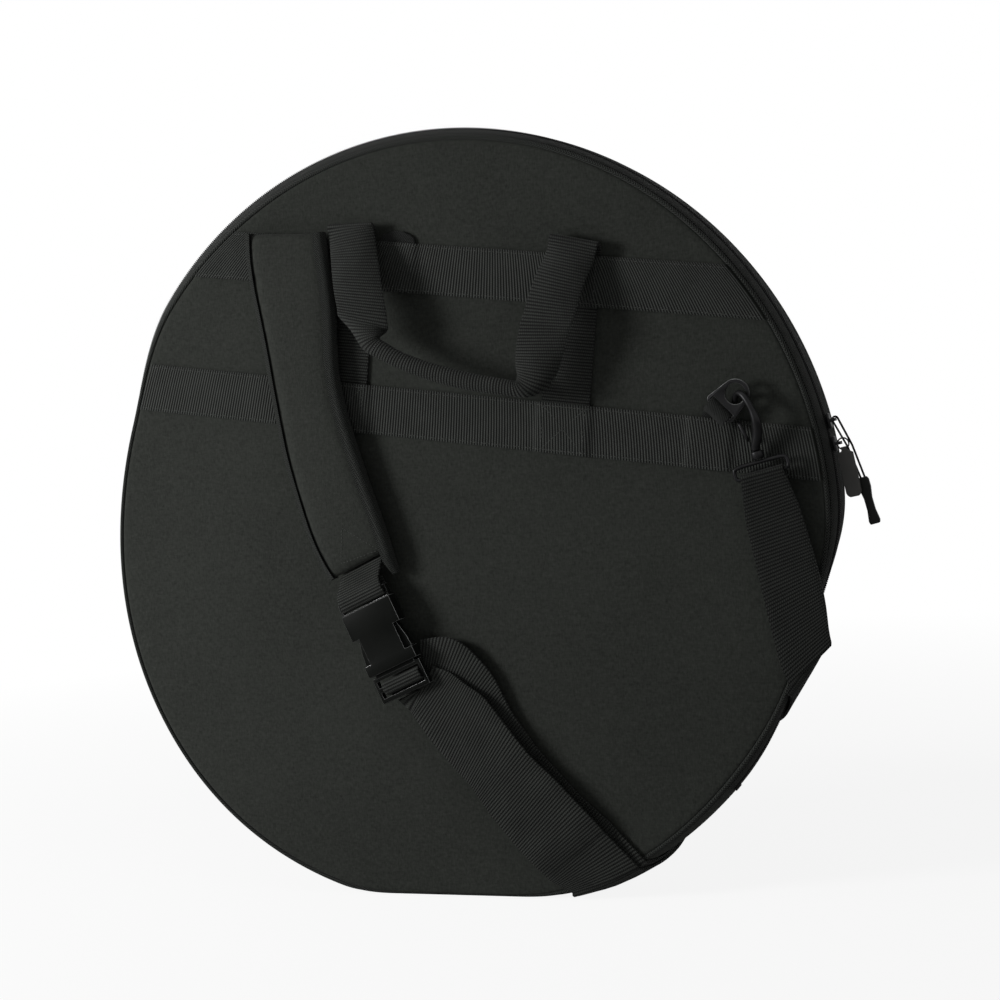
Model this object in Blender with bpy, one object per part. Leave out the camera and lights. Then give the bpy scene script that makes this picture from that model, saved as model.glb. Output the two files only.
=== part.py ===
"""Round padded cymbal bag with a carrying handle, a padded shoulder strap and a zip round its rim.

Metres, +Z up. The bag stands on a short flat stretch of its rim, and the origin is the middle of
that flat. The panel with the handle and the strap faces -Y, and the half that opens lies towards +Y.
The bag is laid out upright about the middle of its round panels, and then turned in its own plane
by stand_turn, so that the flat stretch lies level.
"""
import math

import bmesh
import bpy
from mathutils import Matrix, Vector

# Case
seam_radius = 0.298
bag_depth = 0.058
half_depth = bag_depth / 2
rim_crown = 0.0065
crown_power_share = 0.6
foot_distance = 0.2945
foot_blend = 0.005
stand_turn = math.radians(9)
foot_angle = stand_turn - math.pi / 2
hinge_half_angle = math.radians(45)
clearance = 0.0003
ring_steps = 72

# Outline of the round panels: compass angle in degrees and share of the seam radius
outline_shares = (
    (9, 1.003),
    (150, 1.003),
    (170, 0.970),
    (240, 1.043),
    (300, 1.000),
    (330, 0.982),
    (352, 0.981),
    (369, 1.003),
)

# The strap draws the far edge of the rim in, between these compass angles
pinch_depth = 0.017
pinch_middle = math.radians(-12)
pinch_half_angle = math.radians(24)

# Padded walls
cover_thickness = 0.0012
cover_edge_drop = 0.0006
foam_thickness = 0.006
lining_thickness = 0.001
foam_edge_margin = 0.004
piping_radius = 0.0018
tape_thickness = 0.001
tape_width = 0.0118
coil_width = 0.0021
coil_height = 0.0024
coil_stand = 0.0007
gusset_thickness = 0.004
end_stop_length = 0.006
end_stop_rise = 0.0012

# Webbing sewn to the panel
web_thickness = 0.0016
band_width = 0.038
upper_band_height = 0.1952
lower_band_height = 0.0834
band_ramp = 0.004
strip_offset = 0.0917
strip_foot_height = 0.0655
strip_rise = 0.0016
anchor_tab_width = 0.029
anchor_tab_gap = 0.004
anchor_tab_height = 0.044
anchor_tab_rise = 0.0085

# Carrying handle
handle_reach = 0.029
grip_width = 0.017
grip_thickness = 0.010
grip_steps = 20
handle_crest_share = 0.29
handle_crest_rise = 0.0093
handle_fold = 0.0016
handle_gap = 0.00015

# Shoulder pad and its webbing
pad_width = 0.062
pad_end_width = 0.050
pad_thickness = 0.011
binding_thickness = 0.0027
pad_web_width = 0.040
pad_web_thickness = 0.002

# Side-release buckle
buckle_width = 0.0455
buckle_thickness = 0.012
buckle_lift = 0.0143
female_length = 0.062
female_wall = 0.0024
female_bar = 0.0045
female_frame_thickness = 0.0065
web_slot = 0.0042
slot_width = 0.0415
window_start = 0.022
window_length = 0.022
window_depth = 0.0065
male_frame_width = 0.0447
male_frame_length = 0.0215
male_frame_thickness = 0.006
male_bar = 0.0036
male_neck_length = 0.0012
male_neck_width = 0.036
guide_width = 0.009
guide_length = 0.040
guide_thickness = 0.0045
prong_width = 0.0046
prong_length = 0.037
prong_thickness = 0.006
prong_spread = 0.0152
prong_head_width = 0.0042
prong_head_length = 0.015
buckle_bevel = 0.0012

# Strap webbing
strap_width = 0.050
strap_thickness = 0.002
hook_strap_width = 0.038
hook_loop_width = 0.032
strap_layer_gap = 0.0006
loop_width = 0.0345
slot_shift = 0.0012
run_shift = 0.005
run_slant = 0.0022

# Snap hook and the plate it is clipped to
ring_wire = 0.0015
ring_width = 0.0407
ring_height = 0.010
ring_square_share = 0.4
hook_wire = 0.0023
collar_radius = 0.0045
collar_length = 0.0062
gate_radius = 0.0017
hook_lift = 0.0095
hook_drop = 0.0072
plate_thickness = 0.0024
plate_base_width = 0.026
plate_corner = 0.0035
plate_apex_radius = 0.0108
plate_hole_radius = 0.0078
plate_length = 0.0185
plate_slot_width = 0.0205
plate_slot_height = 0.0034
plate_bar = 0.0027
plate_turn = math.radians(50)
plate_sideways = 0.0192
plate_ahead = 0.0417
plate_rise = 0.0004
tab_web_width = 0.019
tab_web_thickness = 0.0014
tab_row_shares = (
    (-1.3426, -0.195, -0.8423, -0.195, 0.0000), (-1.2368, 0.532, -0.7371, 0.532, 0.0000),
    (-1.1842, 0.634, -0.7018, 0.566, 0.0565), (-1.1018, 0.691, -0.6547, 0.5265, 0.1176),
)
tab_span_shares = (-1.4344, -0.6547)

# Zip sliders and their pulls
slider_length = 0.011
slider_width = 0.008
slider_height = 0.002
slider_lift = 0.0004
slider_post = 0.0014
upper_slider_angle = math.radians(20.4)
lower_slider_angle = math.radians(17.2)
pull_ring_radius = 0.0042
pull_ring_wire = 0.00055
pull_tab_width = 0.0112
pull_tab_length = 0.037
pull_tab_thickness = 0.003
pull_tab_neck = 0.0044
pull_tab_shoulder = 0.005
pull_cord_radius = 0.0008
pull_knee_length = 0.022
pull_cord_length = 0.0238
pull_grip_length = 0.035
pull_grip_width = 0.0085
pull_grip_waist = 0.0058
pull_grip_thickness = 0.005
ring_lane = 0.0014
cord_lane = 0.0011
grip_lane = 0.0031
tab_hang = Vector((0.309, 0.0, -0.951)).normalized()
knee_hang = Vector((0.560, 0.0, -0.828)).normalized()
cord_hang = Vector((0.440, 0.0, -0.898)).normalized()
grip_hang = Vector((0.366, 0.0, -0.931)).normalized()

# Places on the panel, as shares of the seam radius (across, up), and heights off it
pad_route_shares = (
    (-0.502, 0.737), (-0.4815, 0.638), (-0.4614, 0.547), (-0.4295, 0.409), (-0.4077, 0.309),
    (-0.382, 0.201), (-0.3456, 0.1007), (-0.3054, 0.0134), (-0.262, -0.0604), (-0.2198, -0.134),
)
pad_taper_share = 0.7
buckle_place_shares = (-0.1850, -0.2290)
buckle_axis = Vector((0.52, 0.0, -0.854)).normalized()
front_run_shares = (
    (0.0899, -0.5035, 0.96, 0.84), (0.2128, -0.6007, 0.95, 0.80),
    (0.3065, -0.6895, 0.95, 0.62), (0.3818, -0.7742, 1.00, 0.42), (0.4329, -0.8219, 1.00, 0.30),
)
tail_run_shares = (
    (0.0441, -0.3625, 0.80, 0.42), (0.1252, -0.4607, 0.90, 0.42), (0.2438, -0.5826, 0.92, 0.30),
    (0.3389, -0.6878, 0.94, 0.20), (0.4070, -0.7480, 0.96, 0.12), (0.4600, -0.7950, 1.00, 0.07),
)
hook_run_shares = (
    (0.8441, 0.1796, 1.00, 0.86), (0.8696, 0.1247, 0.95, 0.72), (0.9007, 0.0561, 0.93, 0.52),
    (0.9474, -0.0507, 0.88, 0.40),
)
back_run_shares = (
    (0.5839, -0.7156, 1.00, 0.22), (0.6070, -0.6087, 1.00, 0.26), (0.6634, -0.5138, 1.00, 0.28),
    (0.7207, -0.4589, 1.00, 0.28),
)
hook_back_shares = (
    (0.8158, -0.3930, 1.00, 0.36), (0.7339, -0.4430, 1.00, 0.52), (0.6605, -0.4871, 1.00, 0.54),
)
hook_place_share = 0.8205
hook_axis = Vector((-0.364, 0.0, 0.931)).normalized()
left_web_shares = (
    (-0.3077, 0.2900, 1.00, 0), (-0.3037, 0.55, 1.00, 0), (-0.2886, 0.76, 1.00, -5),
    (-0.2617, 0.92, 1.00, -10), (-0.2280, 1.00, 0.92, 8), (-0.1930, 1.00, 0.62, 50),
)
left_web_height_shares = (0.750, 0.737, 0.671, 0.587, 0.507, 0.4565)
right_web_shares = (
    (0.3077, 0.2900, 1.00, 0), (0.3104, 0.55, 1.00, -4), (0.2970, 0.80, 1.00, -12),
    (0.2735, 0.97, 1.00, -20), (0.2610, 1.07, 0.95, -24), (0.2480, 1.07, 0.76, -42),
    (0.2240, 1.03, 0.50, -74),
)
right_web_height_shares = (0.750, 0.737, 0.671, 0.577, 0.500, 0.4250, 0.3850)
grip_shares = (
    (-0.1700, 0.4480), (-0.0738, 0.4040), (0.01845, 0.3779), (0.1208, 0.3658), (0.2030, 0.3711),
)
front_cross_shares = ((-1.0, -64.0, -54.5), (0.0, -61.5, -52.0), (1.0, -58.5, -49.0))
tail_cross_shares = ((-1.0, -61.0, -52.5), (0.0, -59.5, -51.0), (1.0, -58.0, -49.5))
hook_cross_shares = ((-1.0, -17.4, -1.8), (0.0, -21.3, -11.0), (1.0, -26.5, -14.0))
hook_bow = (0.004, 0.012)
strap_lift = 0.0125


def clear_scene():
    for item in list(bpy.data.objects):
        bpy.data.objects.remove(item, do_unlink=True)


clear_scene()
bag_collection = bpy.data.collections.new("cymbal_bag")
bpy.context.scene.collection.children.link(bag_collection)
cutter_collection = bpy.data.collections.new("cutters")
bpy.context.scene.collection.children.link(cutter_collection)


# Materials

def make_material(name, colour, roughness, metallic=0.0):
    material = bpy.data.materials.new(name)
    material.use_nodes = True
    shader = material.node_tree.nodes["Principled BSDF"]
    shader.inputs["Base Color"].default_value = (*colour, 1.0)
    shader.inputs["Roughness"].default_value = roughness
    shader.inputs["Metallic"].default_value = metallic
    return material


cloth = make_material("cloth", (0.026, 0.028, 0.025), 0.85)
lining_cloth = make_material("lining_cloth", (0.020, 0.020, 0.020), 0.90)
foam = make_material("foam", (0.10, 0.10, 0.10), 0.95)
tape_cloth = make_material("tape_cloth", (0.022, 0.024, 0.022), 0.75)
coil_plastic = make_material("coil_plastic", (0.010, 0.010, 0.010), 0.45)
webbing_cloth = make_material("webbing_cloth", (0.018, 0.020, 0.018), 0.70)
pad_cloth = make_material("pad_cloth", (0.027, 0.029, 0.027), 0.85)
buckle_plastic = make_material("buckle_plastic", (0.011, 0.012, 0.011), 0.38)
black_metal = make_material("black_metal", (0.015, 0.015, 0.016), 0.28, 0.9)
pull_rubber = make_material("pull_rubber", (0.015, 0.016, 0.015), 0.50)


# Shared shapes

def add_object(name, mesh, material, smooth_angle=math.radians(35)):
    mesh.materials.clear()
    mesh.materials.append(material)
    mesh.shade_smooth()
    mesh.set_sharp_from_angle(angle=smooth_angle)
    item = bpy.data.objects.new(name, mesh)
    bag_collection.objects.link(item)
    return item


def loft(name, rings, material, closed=False):
    """A closed solid through rings of equally many points, capped unless it closes on itself."""
    shape = bmesh.new()
    rows = [[shape.verts.new(point) for point in ring] for ring in rings]
    count = len(rings[0])
    pairs = list(zip(rows, rows[1:]))
    if closed:
        pairs.append((rows[-1], rows[0]))
    for row, following in pairs:
        for index in range(count):
            ahead = (index + 1) % count
            shape.faces.new((row[index], row[ahead], following[ahead], following[index]))
    if not closed:
        shape.faces.new(rows[0])
        shape.faces.new(list(reversed(rows[-1])))
    bmesh.ops.recalc_face_normals(shape, faces=shape.faces)
    mesh = bpy.data.meshes.new(name)
    shape.to_mesh(mesh)
    shape.free()
    return add_object(name, mesh, material)


def smooth_route(stations, samples):
    """Catmull-Rom samples through stations, each a tuple of numbers."""
    padded = [stations[0], *stations, stations[-1]]
    route = []
    for index in range(len(stations) - 1):
        before, start, end, after = padded[index:index + 4]
        for step in range(samples):
            t = step / samples
            route.append(tuple(
                0.5 * (2 * s + (e - b) * t + (2 * b - 5 * s + 4 * e - a) * t ** 2
                       + (3 * s - b - 3 * e + a) * t ** 3)
                for b, s, e, a in zip(before, start, end, after)
            ))
    route.append(tuple(stations[-1]))
    return route


def sheet(name, rows, thickness, material):
    """A solid of even thickness about a grid of points: rows along it, columns across it."""
    rings = []
    last_row = len(rows) - 1
    last_column = len(rows[0]) - 1
    for i, row in enumerate(rows):
        front = []
        back = []
        for j, point in enumerate(row):
            along = rows[min(i + 1, last_row)][j] - rows[max(i - 1, 0)][j]
            across = row[min(j + 1, last_column)] - row[max(j - 1, 0)]
            normal = along.cross(across).normalized() * thickness / 2
            front.append(point + normal)
            back.append(point - normal)
        rings.append(front + list(reversed(back)))
    return loft(name, rings, material)


def strip_rows(stations, samples, columns):
    """Rows of points from stations of place (3), side direction (3) and half width."""
    rows = []
    for station in smooth_route(stations, samples):
        centre = Vector(station[0:3])
        side = Vector(station[3:6]).normalized() * station[6]
        rows.append([centre + side * (2 * column / columns - 1) for column in range(columns + 1)])
    return rows


def tube(name, points, radius, material, cyclic=False, resolution=2):
    curve = bpy.data.curves.new(name, "CURVE")
    curve.dimensions = "3D"
    curve.bevel_depth = radius
    curve.bevel_resolution = resolution
    curve.use_fill_caps = True
    spline = curve.splines.new("POLY")
    spline.points.add(len(points) - 1)
    for slot, point in zip(spline.points, points):
        slot.co = (*point, 1.0)
    spline.use_cyclic_u = cyclic
    return curve_object(name, curve, material)


def flat_outline(name, loops, thickness, bevel, material):
    """A flat plate in its own XY plane, from closed loops: the outline, then its holes."""
    curve = bpy.data.curves.new(name, "CURVE")
    curve.dimensions = "2D"
    curve.fill_mode = "BOTH"
    curve.extrude = thickness / 2 - bevel
    curve.bevel_depth = bevel
    curve.bevel_resolution = 1
    curve.offset = -bevel
    for loop in loops:
        spline = curve.splines.new("POLY")
        spline.points.add(len(loop) - 1)
        for slot, (x, y) in zip(spline.points, loop):
            slot.co = (x, y, 0.0, 1.0)
        spline.use_cyclic_u = True
    return curve_object(name, curve, material)


def weld(mesh):
    shape = bmesh.new()
    shape.from_mesh(mesh)
    bmesh.ops.remove_doubles(shape, verts=shape.verts, dist=clearance / 10)
    bmesh.ops.dissolve_degenerate(shape, edges=shape.edges, dist=clearance / 10)
    large = [face for face in shape.faces if len(face.verts) > 4]
    bmesh.ops.triangulate(shape, faces=large, ngon_method="EAR_CLIP")
    bmesh.ops.recalc_face_normals(shape, faces=shape.faces)
    shape.to_mesh(mesh)
    shape.free()


def curve_object(name, curve, material):
    """A mesh object made from a curve, with its caps welded."""
    holder = bpy.data.objects.new(name + "_curve", curve)
    bag_collection.objects.link(holder)
    bpy.context.view_layer.update()
    evaluated = holder.evaluated_get(bpy.context.evaluated_depsgraph_get())
    mesh = bpy.data.meshes.new_from_object(evaluated)
    bpy.data.objects.remove(holder, do_unlink=True)
    weld(mesh)
    return add_object(name, mesh, material)


def box_mesh(name, size, centre, bevel=0.0):
    shape = bmesh.new()
    bmesh.ops.create_cube(shape, size=1.0)
    bmesh.ops.scale(shape, vec=size, verts=shape.verts)
    if bevel:
        bmesh.ops.bevel(shape, geom=shape.edges[:], offset=bevel, segments=2, profile=0.5, affect="EDGES")
    bmesh.ops.translate(shape, vec=centre, verts=shape.verts)
    mesh = bpy.data.meshes.new(name)
    shape.to_mesh(mesh)
    shape.free()
    return mesh


def cutter(name, size, centre):
    item = bpy.data.objects.new(name, box_mesh(name, size, centre))
    item.hide_render = True
    item.display_type = "WIRE"
    cutter_collection.objects.link(item)
    return item


def cut(item, tools, operation="DIFFERENCE"):
    """Apply one exact Boolean for each tool, and drop the tools."""
    for tool in tools:
        modifier = item.modifiers.new("cut", "BOOLEAN")
        modifier.object = tool
        modifier.operation = operation
        modifier.solver = "EXACT"
        bpy.context.view_layer.update()
        evaluated = item.evaluated_get(bpy.context.evaluated_depsgraph_get())
        mesh = bpy.data.meshes.new_from_object(evaluated)
        item.modifiers.clear()
        weld(mesh)
        item.data = mesh
        bpy.data.objects.remove(tool, do_unlink=True)
    item.data.set_sharp_from_angle(angle=math.radians(35))


def stand_on(item, place, along, outward):
    """Set an object's own Y and Z axes along two directions of the bag."""
    axes = Matrix((along.cross(outward), along, outward)).transposed()
    item.matrix_world = Matrix.Translation(place) @ axes.to_4x4()


# The bag's outline

def outline_share(angle):
    degrees = math.degrees(angle) % 360
    if degrees < outline_shares[0][0]:
        degrees += 360
    for (start, first), (end, second) in zip(outline_shares, outline_shares[1:]):
        if degrees <= end:
            t = (degrees - start) / (end - start)
            return first + (second - first) * t * t * (3 - 2 * t)
    return outline_shares[-1][1]


def rim_radius(angle, outward, inset):
    """Distance from the middle: outward flattens on the foot, while inset is kept as thickness."""
    reach = seam_radius * outline_share(angle) + outward - inset
    turn = (angle - foot_angle + math.pi) % (2 * math.pi) - math.pi
    if abs(turn) > math.radians(60):
        return reach
    flat = (foot_distance - inset) / math.cos(turn)
    overlap = max(foot_blend - abs(reach - flat), 0) / foot_blend
    return min(reach, flat) - overlap ** 2 * foot_blend / 4


def pinch(angle, y):
    """How far the strap draws the rim in, more towards its far edge."""
    turn = (angle - pinch_middle + math.pi) % (2 * math.pi) - math.pi
    if abs(turn) > pinch_half_angle:
        return 0.0
    swell = math.cos(turn / pinch_half_angle * math.pi / 2) ** 2
    return pinch_depth * swell * (y + half_depth) / bag_depth


def rim_point(angle, y, outward, inset=0.0):
    radius = rim_radius(angle, outward, inset) - pinch(angle, y)
    return Vector((radius * math.cos(angle), y, radius * math.sin(angle)))


def crown(y):
    share = min(max((y + half_depth) / bag_depth, 0.0), 1.0)
    return rim_crown * math.sin(math.pi * share) ** crown_power_share


def ring_angles(start, end):
    steps = max(2, round(ring_steps * (end - start) / (2 * math.pi)))
    return [start + (end - start) * step / steps for step in range(steps + 1)]


def ring_piece(name, section, material, start=0.0, end=2 * math.pi):
    """A ring, whole or part, that follows the outline. The section lists y, outward and inset."""
    angles = ring_angles(start, end)
    closed = end - start > 2 * math.pi - clearance
    if closed:
        angles.pop()
    rings = [[rim_point(angle, *point) for point in section] for angle in angles]
    return loft(name, rings, material, closed)


def wall_section(low, high, thickness, spans):
    """Section of a wall that follows the rim's crown from low to high."""
    places = [low + (high - low) * index / spans for index in range(spans + 1)]
    outside = [(y, crown(y), 0.0) for y in places]
    inside = [(y, crown(y), thickness) for y in reversed(places)]
    return outside + inside


zip_start = foot_angle + hinge_half_angle
zip_end = foot_angle - hinge_half_angle + 2 * math.pi
zip_end_gap = clearance / seam_radius
edge_inset = piping_radius * 2 + clearance
foam_inset = piping_radius + foam_edge_margin
tape_back_start = -half_depth + 2 * piping_radius + clearance
tape_back_end = tape_back_start + tape_width
coil_back_start = tape_back_end + clearance
coil_back_end = coil_back_start + coil_width
coil_front_start = coil_back_end + clearance
coil_front_end = coil_front_start + coil_width
tape_front_start = coil_front_end + clearance
tape_front_end = tape_front_start + tape_width
gusset_start = tape_front_end + clearance
gusset_end = half_depth - 2 * piping_radius - clearance
coil_middle = (coil_back_end + coil_front_start) / 2


# Case pieces

def round_panel(name, outer, inner, inset, drop, material):
    """A disc inside the outline, whose outer edge is eased by drop."""
    angles = ring_angles(0.0, 2 * math.pi)[:-1]
    outer_ring = [rim_point(angle, outer, piping_radius, inset + drop) for angle in angles]
    step = drop if inner > outer else -drop
    edge_ring = [rim_point(angle, outer + step, piping_radius, inset) for angle in angles]
    inner_ring = [rim_point(angle, inner, piping_radius, inset) for angle in angles]
    rings = [outer_ring, edge_ring, inner_ring] if drop else [outer_ring, inner_ring]
    return loft(name, rings, material)


def make_padded_side(side, facing):
    """Cover, foam, lining and piping of one round side. Facing is -1 for the carrying side."""
    face = facing * half_depth
    foam_start = face - facing * (cover_thickness + clearance)
    foam_end = foam_start - facing * foam_thickness
    lining_start = foam_end - facing * clearance
    lining_end = lining_start - facing * lining_thickness
    round_panel(side + "_panel", face, face - facing * cover_thickness, edge_inset, cover_edge_drop, cloth)
    round_panel(side + "_foam", foam_start, foam_end, foam_inset, 0.0, foam)
    round_panel(side + "_lining", lining_start, lining_end, foam_inset, 0.0, lining_cloth)
    corners = [math.pi / 4 * step for step in range(8)]
    section = []
    for corner in corners:
        y = face - facing * piping_radius * (1 + math.sin(corner))
        section.append((y, piping_radius, piping_radius * (1 - math.cos(corner))))
    ring_piece(side + "_piping", section, cloth)


def coil_section(low, high):
    rise = crown(coil_middle) + coil_stand
    return [(low, rise, 0.0), (high, rise, 0.0), (high, rise, coil_height), (low, rise, coil_height)]


def make_zip():
    start = zip_start + zip_end_gap
    end = zip_end - zip_end_gap
    tape_back = wall_section(tape_back_start, tape_back_end, tape_thickness, 2)
    tape_front = wall_section(tape_front_start, tape_front_end, tape_thickness, 2)
    ring_piece("zip_tape_back", tape_back, tape_cloth, start, end)
    ring_piece("zip_tape_front", tape_front, tape_cloth, start, end)
    stop_angle = end_stop_length / seam_radius
    inner_start = start + stop_angle + zip_end_gap
    inner_end = end - stop_angle - zip_end_gap
    coil_back = coil_section(coil_back_start, coil_back_end)
    coil_front = coil_section(coil_front_start, coil_front_end)
    ring_piece("zip_coil_back", coil_back, coil_plastic, inner_start, inner_end)
    ring_piece("zip_coil_front", coil_front, coil_plastic, inner_start, inner_end)
    rise = crown(coil_middle) + coil_stand + end_stop_rise
    depth = coil_height + end_stop_rise
    stop = [
        (coil_back_start, rise, 0.0), (coil_back_end, rise, 0.0),
        (coil_back_end, rise, depth), (coil_back_start, rise, depth),
    ]
    ring_piece("zip_stop_right", stop, black_metal, start, start + stop_angle)
    ring_piece("zip_stop_left", stop, black_metal, end - stop_angle, end)


def make_gussets():
    start = zip_start + zip_end_gap
    end = zip_end - zip_end_gap
    front = wall_section(gusset_start, gusset_end, gusset_thickness, 3)
    ring_piece("front_gusset", front, cloth, start, end)
    hinge = wall_section(tape_back_start, gusset_end, gusset_thickness, 6)
    ring_piece("hinge_gusset", hinge, cloth, zip_end - 2 * math.pi, zip_start)


# Webbing sewn flat on the carrying side

panel_face = -half_depth
web_layer = web_thickness + clearance
strip_y = panel_face - clearance - web_thickness / 2


def rim_reach(height, side):
    """How far across the panel reaches at a height, inside its piping."""
    angle = math.atan2(height, side * seam_radius)
    reach = rim_radius(angle, piping_radius, edge_inset + cover_edge_drop)
    return side * math.sqrt(reach ** 2 - height ** 2)


def make_band(name, height, raised, layers):
    """A band across the panel that steps over what is sewn beneath it."""
    low = height - band_width / 2
    high = height + band_width / 2
    stations = [(None, 0)]
    for start, end in raised:
        stations += [(start - band_ramp, 0), (start, layers), (end, layers), (end + band_ramp, 0)]
    stations.append((None, 0))
    rows = []
    for index, (x, step) in enumerate(stations):
        y = strip_y - step * web_layer
        side = -1 if index == 0 else 1
        ends = [rim_reach(z, side) if x is None else x for z in (low, high)]
        rows.append([Vector((ends[0], y, low)), Vector((ends[1], y, high))])
    return sheet(name, rows, web_thickness, webbing_cloth)


def strip_span(middle, width):
    return (middle - width / 2 - clearance, middle + width / 2 + clearance)


hook_across_panel = hook_place_share * seam_radius
handle_crest_height = upper_band_height + band_width / 2 + handle_crest_rise
anchor_tab_middle = -strip_offset + band_width / 2 + anchor_tab_gap + anchor_tab_width / 2
upper_raised = (
    strip_span(-strip_offset, band_width), strip_span(anchor_tab_middle, anchor_tab_width),
    strip_span(strip_offset, band_width),
)


def merged_spans(spans):
    """Join spans that leave no room between them for two ramps."""
    joined = [list(spans[0])]
    for start, end in spans[1:]:
        if start - joined[-1][1] < 3 * band_ramp:
            joined[-1][1] = end
        else:
            joined.append([start, end])
    return joined


def make_bands():
    tab_span = tuple(hook_across_panel + band_width * share for share in tab_span_shares)
    make_band("upper_band", upper_band_height, merged_spans(upper_raised), 1)
    lower_raised = [strip_span(-strip_offset, band_width), strip_span(strip_offset, band_width), tab_span]
    make_band("lower_band", lower_band_height, merged_spans(lower_raised), 1)


def make_handle_strip(name, side):
    """The sewn strip under both bands, which curls forward into the handle's fixed end."""
    crest_y = panel_face - handle_reach * handle_crest_share
    band_top = upper_band_height + band_width / 2
    middle = side * strip_offset
    half = band_width / 2
    places = [
        (strip_y, strip_foot_height),
        (strip_y, band_top - band_ramp),
        (strip_y, band_top + strip_rise),
        (strip_y + (crest_y - strip_y) * 0.3, handle_crest_height - strip_rise),
        (crest_y + handle_gap + handle_fold, handle_crest_height),
        (crest_y + handle_gap, handle_crest_height),
    ]
    stations = [(middle, y, z, 1.0, 0.0, 0.0, half) for y, z in places]
    rows = strip_rows(stations[:2], 1, 1)[:-1]
    rows += strip_rows(stations[1:-1], 3, 1)
    rows += strip_rows(stations[-1:], 1, 1)
    sheet(name, rows, web_thickness, webbing_cloth)


def make_anchor_tab():
    """The rounded end of the strap's anchor, under the upper band."""
    top = upper_band_height + band_width / 2 + anchor_tab_rise
    low = top - anchor_tab_height
    half = anchor_tab_width / 2
    corners = [math.pi * step / 8 for step in range(9)]
    loop = [(half, low)]
    loop += [(half * math.cos(corner), top - half * (1 - math.sin(corner)) * 0.5) for corner in corners]
    loop += [(-half, low)]
    rings = [
        [Vector((anchor_tab_middle + x, strip_y + web_thickness / 2 * side, z)) for x, z in loop]
        for side in (1, -1)
    ]
    return loft("strap_anchor_tab", rings, webbing_cloth)


# Handle

def handle_rows(shares, heights, end):
    """Rows of one webbing of the handle, from its fold to its end against the grip."""
    stations = []
    for (across, out, width, turn), height in zip(shares, heights):
        angle = math.radians(turn)
        place = (across * seam_radius, panel_face - out * handle_reach, height * seam_radius)
        stations.append((*place, math.cos(angle), 0.0, math.sin(angle), band_width / 2 * width))
    across, out, _ = stations[0][0:3]
    side = stations[0][3:]
    fold = (across, out - handle_gap - handle_fold, handle_crest_height, *side)
    start = (across, out - handle_gap, handle_crest_height, *side)
    stations = [fold, *stations[1:], end]
    return strip_rows([start], 1, 2) + strip_rows(stations, 4, 2)


def grip_end(point, ahead):
    """The webbing's last station, square to the grip's end and clear of it."""
    tangent = (Vector(ahead) - Vector(point)).normalized()
    place = Vector(point) - tangent * clearance
    side = Vector((-tangent.z, 0.0, tangent.x)) * math.copysign(1.0, -tangent.z)
    return (*place, *side, grip_width / 2)


def make_handle():
    y = panel_face - handle_reach
    points = smooth_route([(x * seam_radius, y, z * seam_radius) for x, z in grip_shares], 5)
    left = handle_rows(left_web_shares, left_web_height_shares, grip_end(points[0], points[1]))
    right = handle_rows(right_web_shares, right_web_height_shares, grip_end(points[-1], points[-2]))
    sheet("handle_webbing_left", left, web_thickness, webbing_cloth)
    sheet("handle_webbing_right", right, web_thickness, webbing_cloth)
    rings = []
    for index, point in enumerate(points):
        ahead = Vector(points[min(index + 1, len(points) - 1)])
        behind = Vector(points[max(index - 1, 0)])
        tangent = (ahead - behind).normalized()
        across = tangent.cross(Vector((0.0, 1.0, 0.0))).normalized()
        ring = []
        for step in range(10):
            corner = 2 * math.pi * step / 10
            offset = across * math.cos(corner) * grip_width / 2
            offset += Vector((0.0, 1.0, 0.0)) * math.sin(corner) * grip_thickness / 2
            ring.append(Vector(point) + offset)
        rings.append(ring)
    loft("handle_grip", rings, webbing_cloth)


# Shoulder pad

pad_back = panel_face - clearance - 2 * web_layer
pad_y = pad_back - pad_thickness / 2


def pad_stations():
    """Place, side direction and half width at each station along the pad."""
    route = [Vector((x * seam_radius, pad_y, z * seam_radius)) for x, z in pad_route_shares]
    stations = []
    last = len(route) - 1
    for index, point in enumerate(route):
        tangent = (route[min(index + 1, last)] - route[max(index - 1, 0)]).normalized()
        side = Vector((-tangent.z, 0.0, tangent.x))
        share = index / last
        taper = max(0.0, (share - pad_taper_share) / (1 - pad_taper_share))
        half = (pad_width + (pad_end_width - pad_width) * taper) / 2
        stations.append((point, side, half))
    return stations


def make_pad():
    stations = pad_stations()
    body = [(*point, *side, half) for point, side, half in stations]
    sheet("shoulder_pad", strip_rows(body, 3, 2), pad_thickness, pad_cloth)
    reach = clearance + binding_thickness / 2
    for name, direction in (("pad_binding_left", 1), ("pad_binding_right", -1)):
        route = []
        for point, side, half in stations:
            place = point + side * direction * (half + reach)
            route.append((*place, 0.0, 1.0, 0.0, pad_thickness / 2))
        sheet(name, strip_rows(route, 3, 1), binding_thickness, tape_cloth)


# Buckle: the frame's X runs across it, its Y along the strap and its Z off the panel

buckle_cross = Vector((buckle_axis.z, 0.0, -buckle_axis.x)) * -1
buckle_outward = Vector((0.0, -1.0, 0.0))
buckle_place = Vector((
    buckle_place_shares[0] * seam_radius, panel_face - buckle_lift, buckle_place_shares[1] * seam_radius,
))
female_start = -female_bar - web_slot
female_end = female_start + female_length
male_start = female_end + clearance + male_neck_length
male_end = male_start + male_frame_length


def stand_buckle(item):
    stand_on(item, buckle_place, buckle_axis, buckle_outward)


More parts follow.
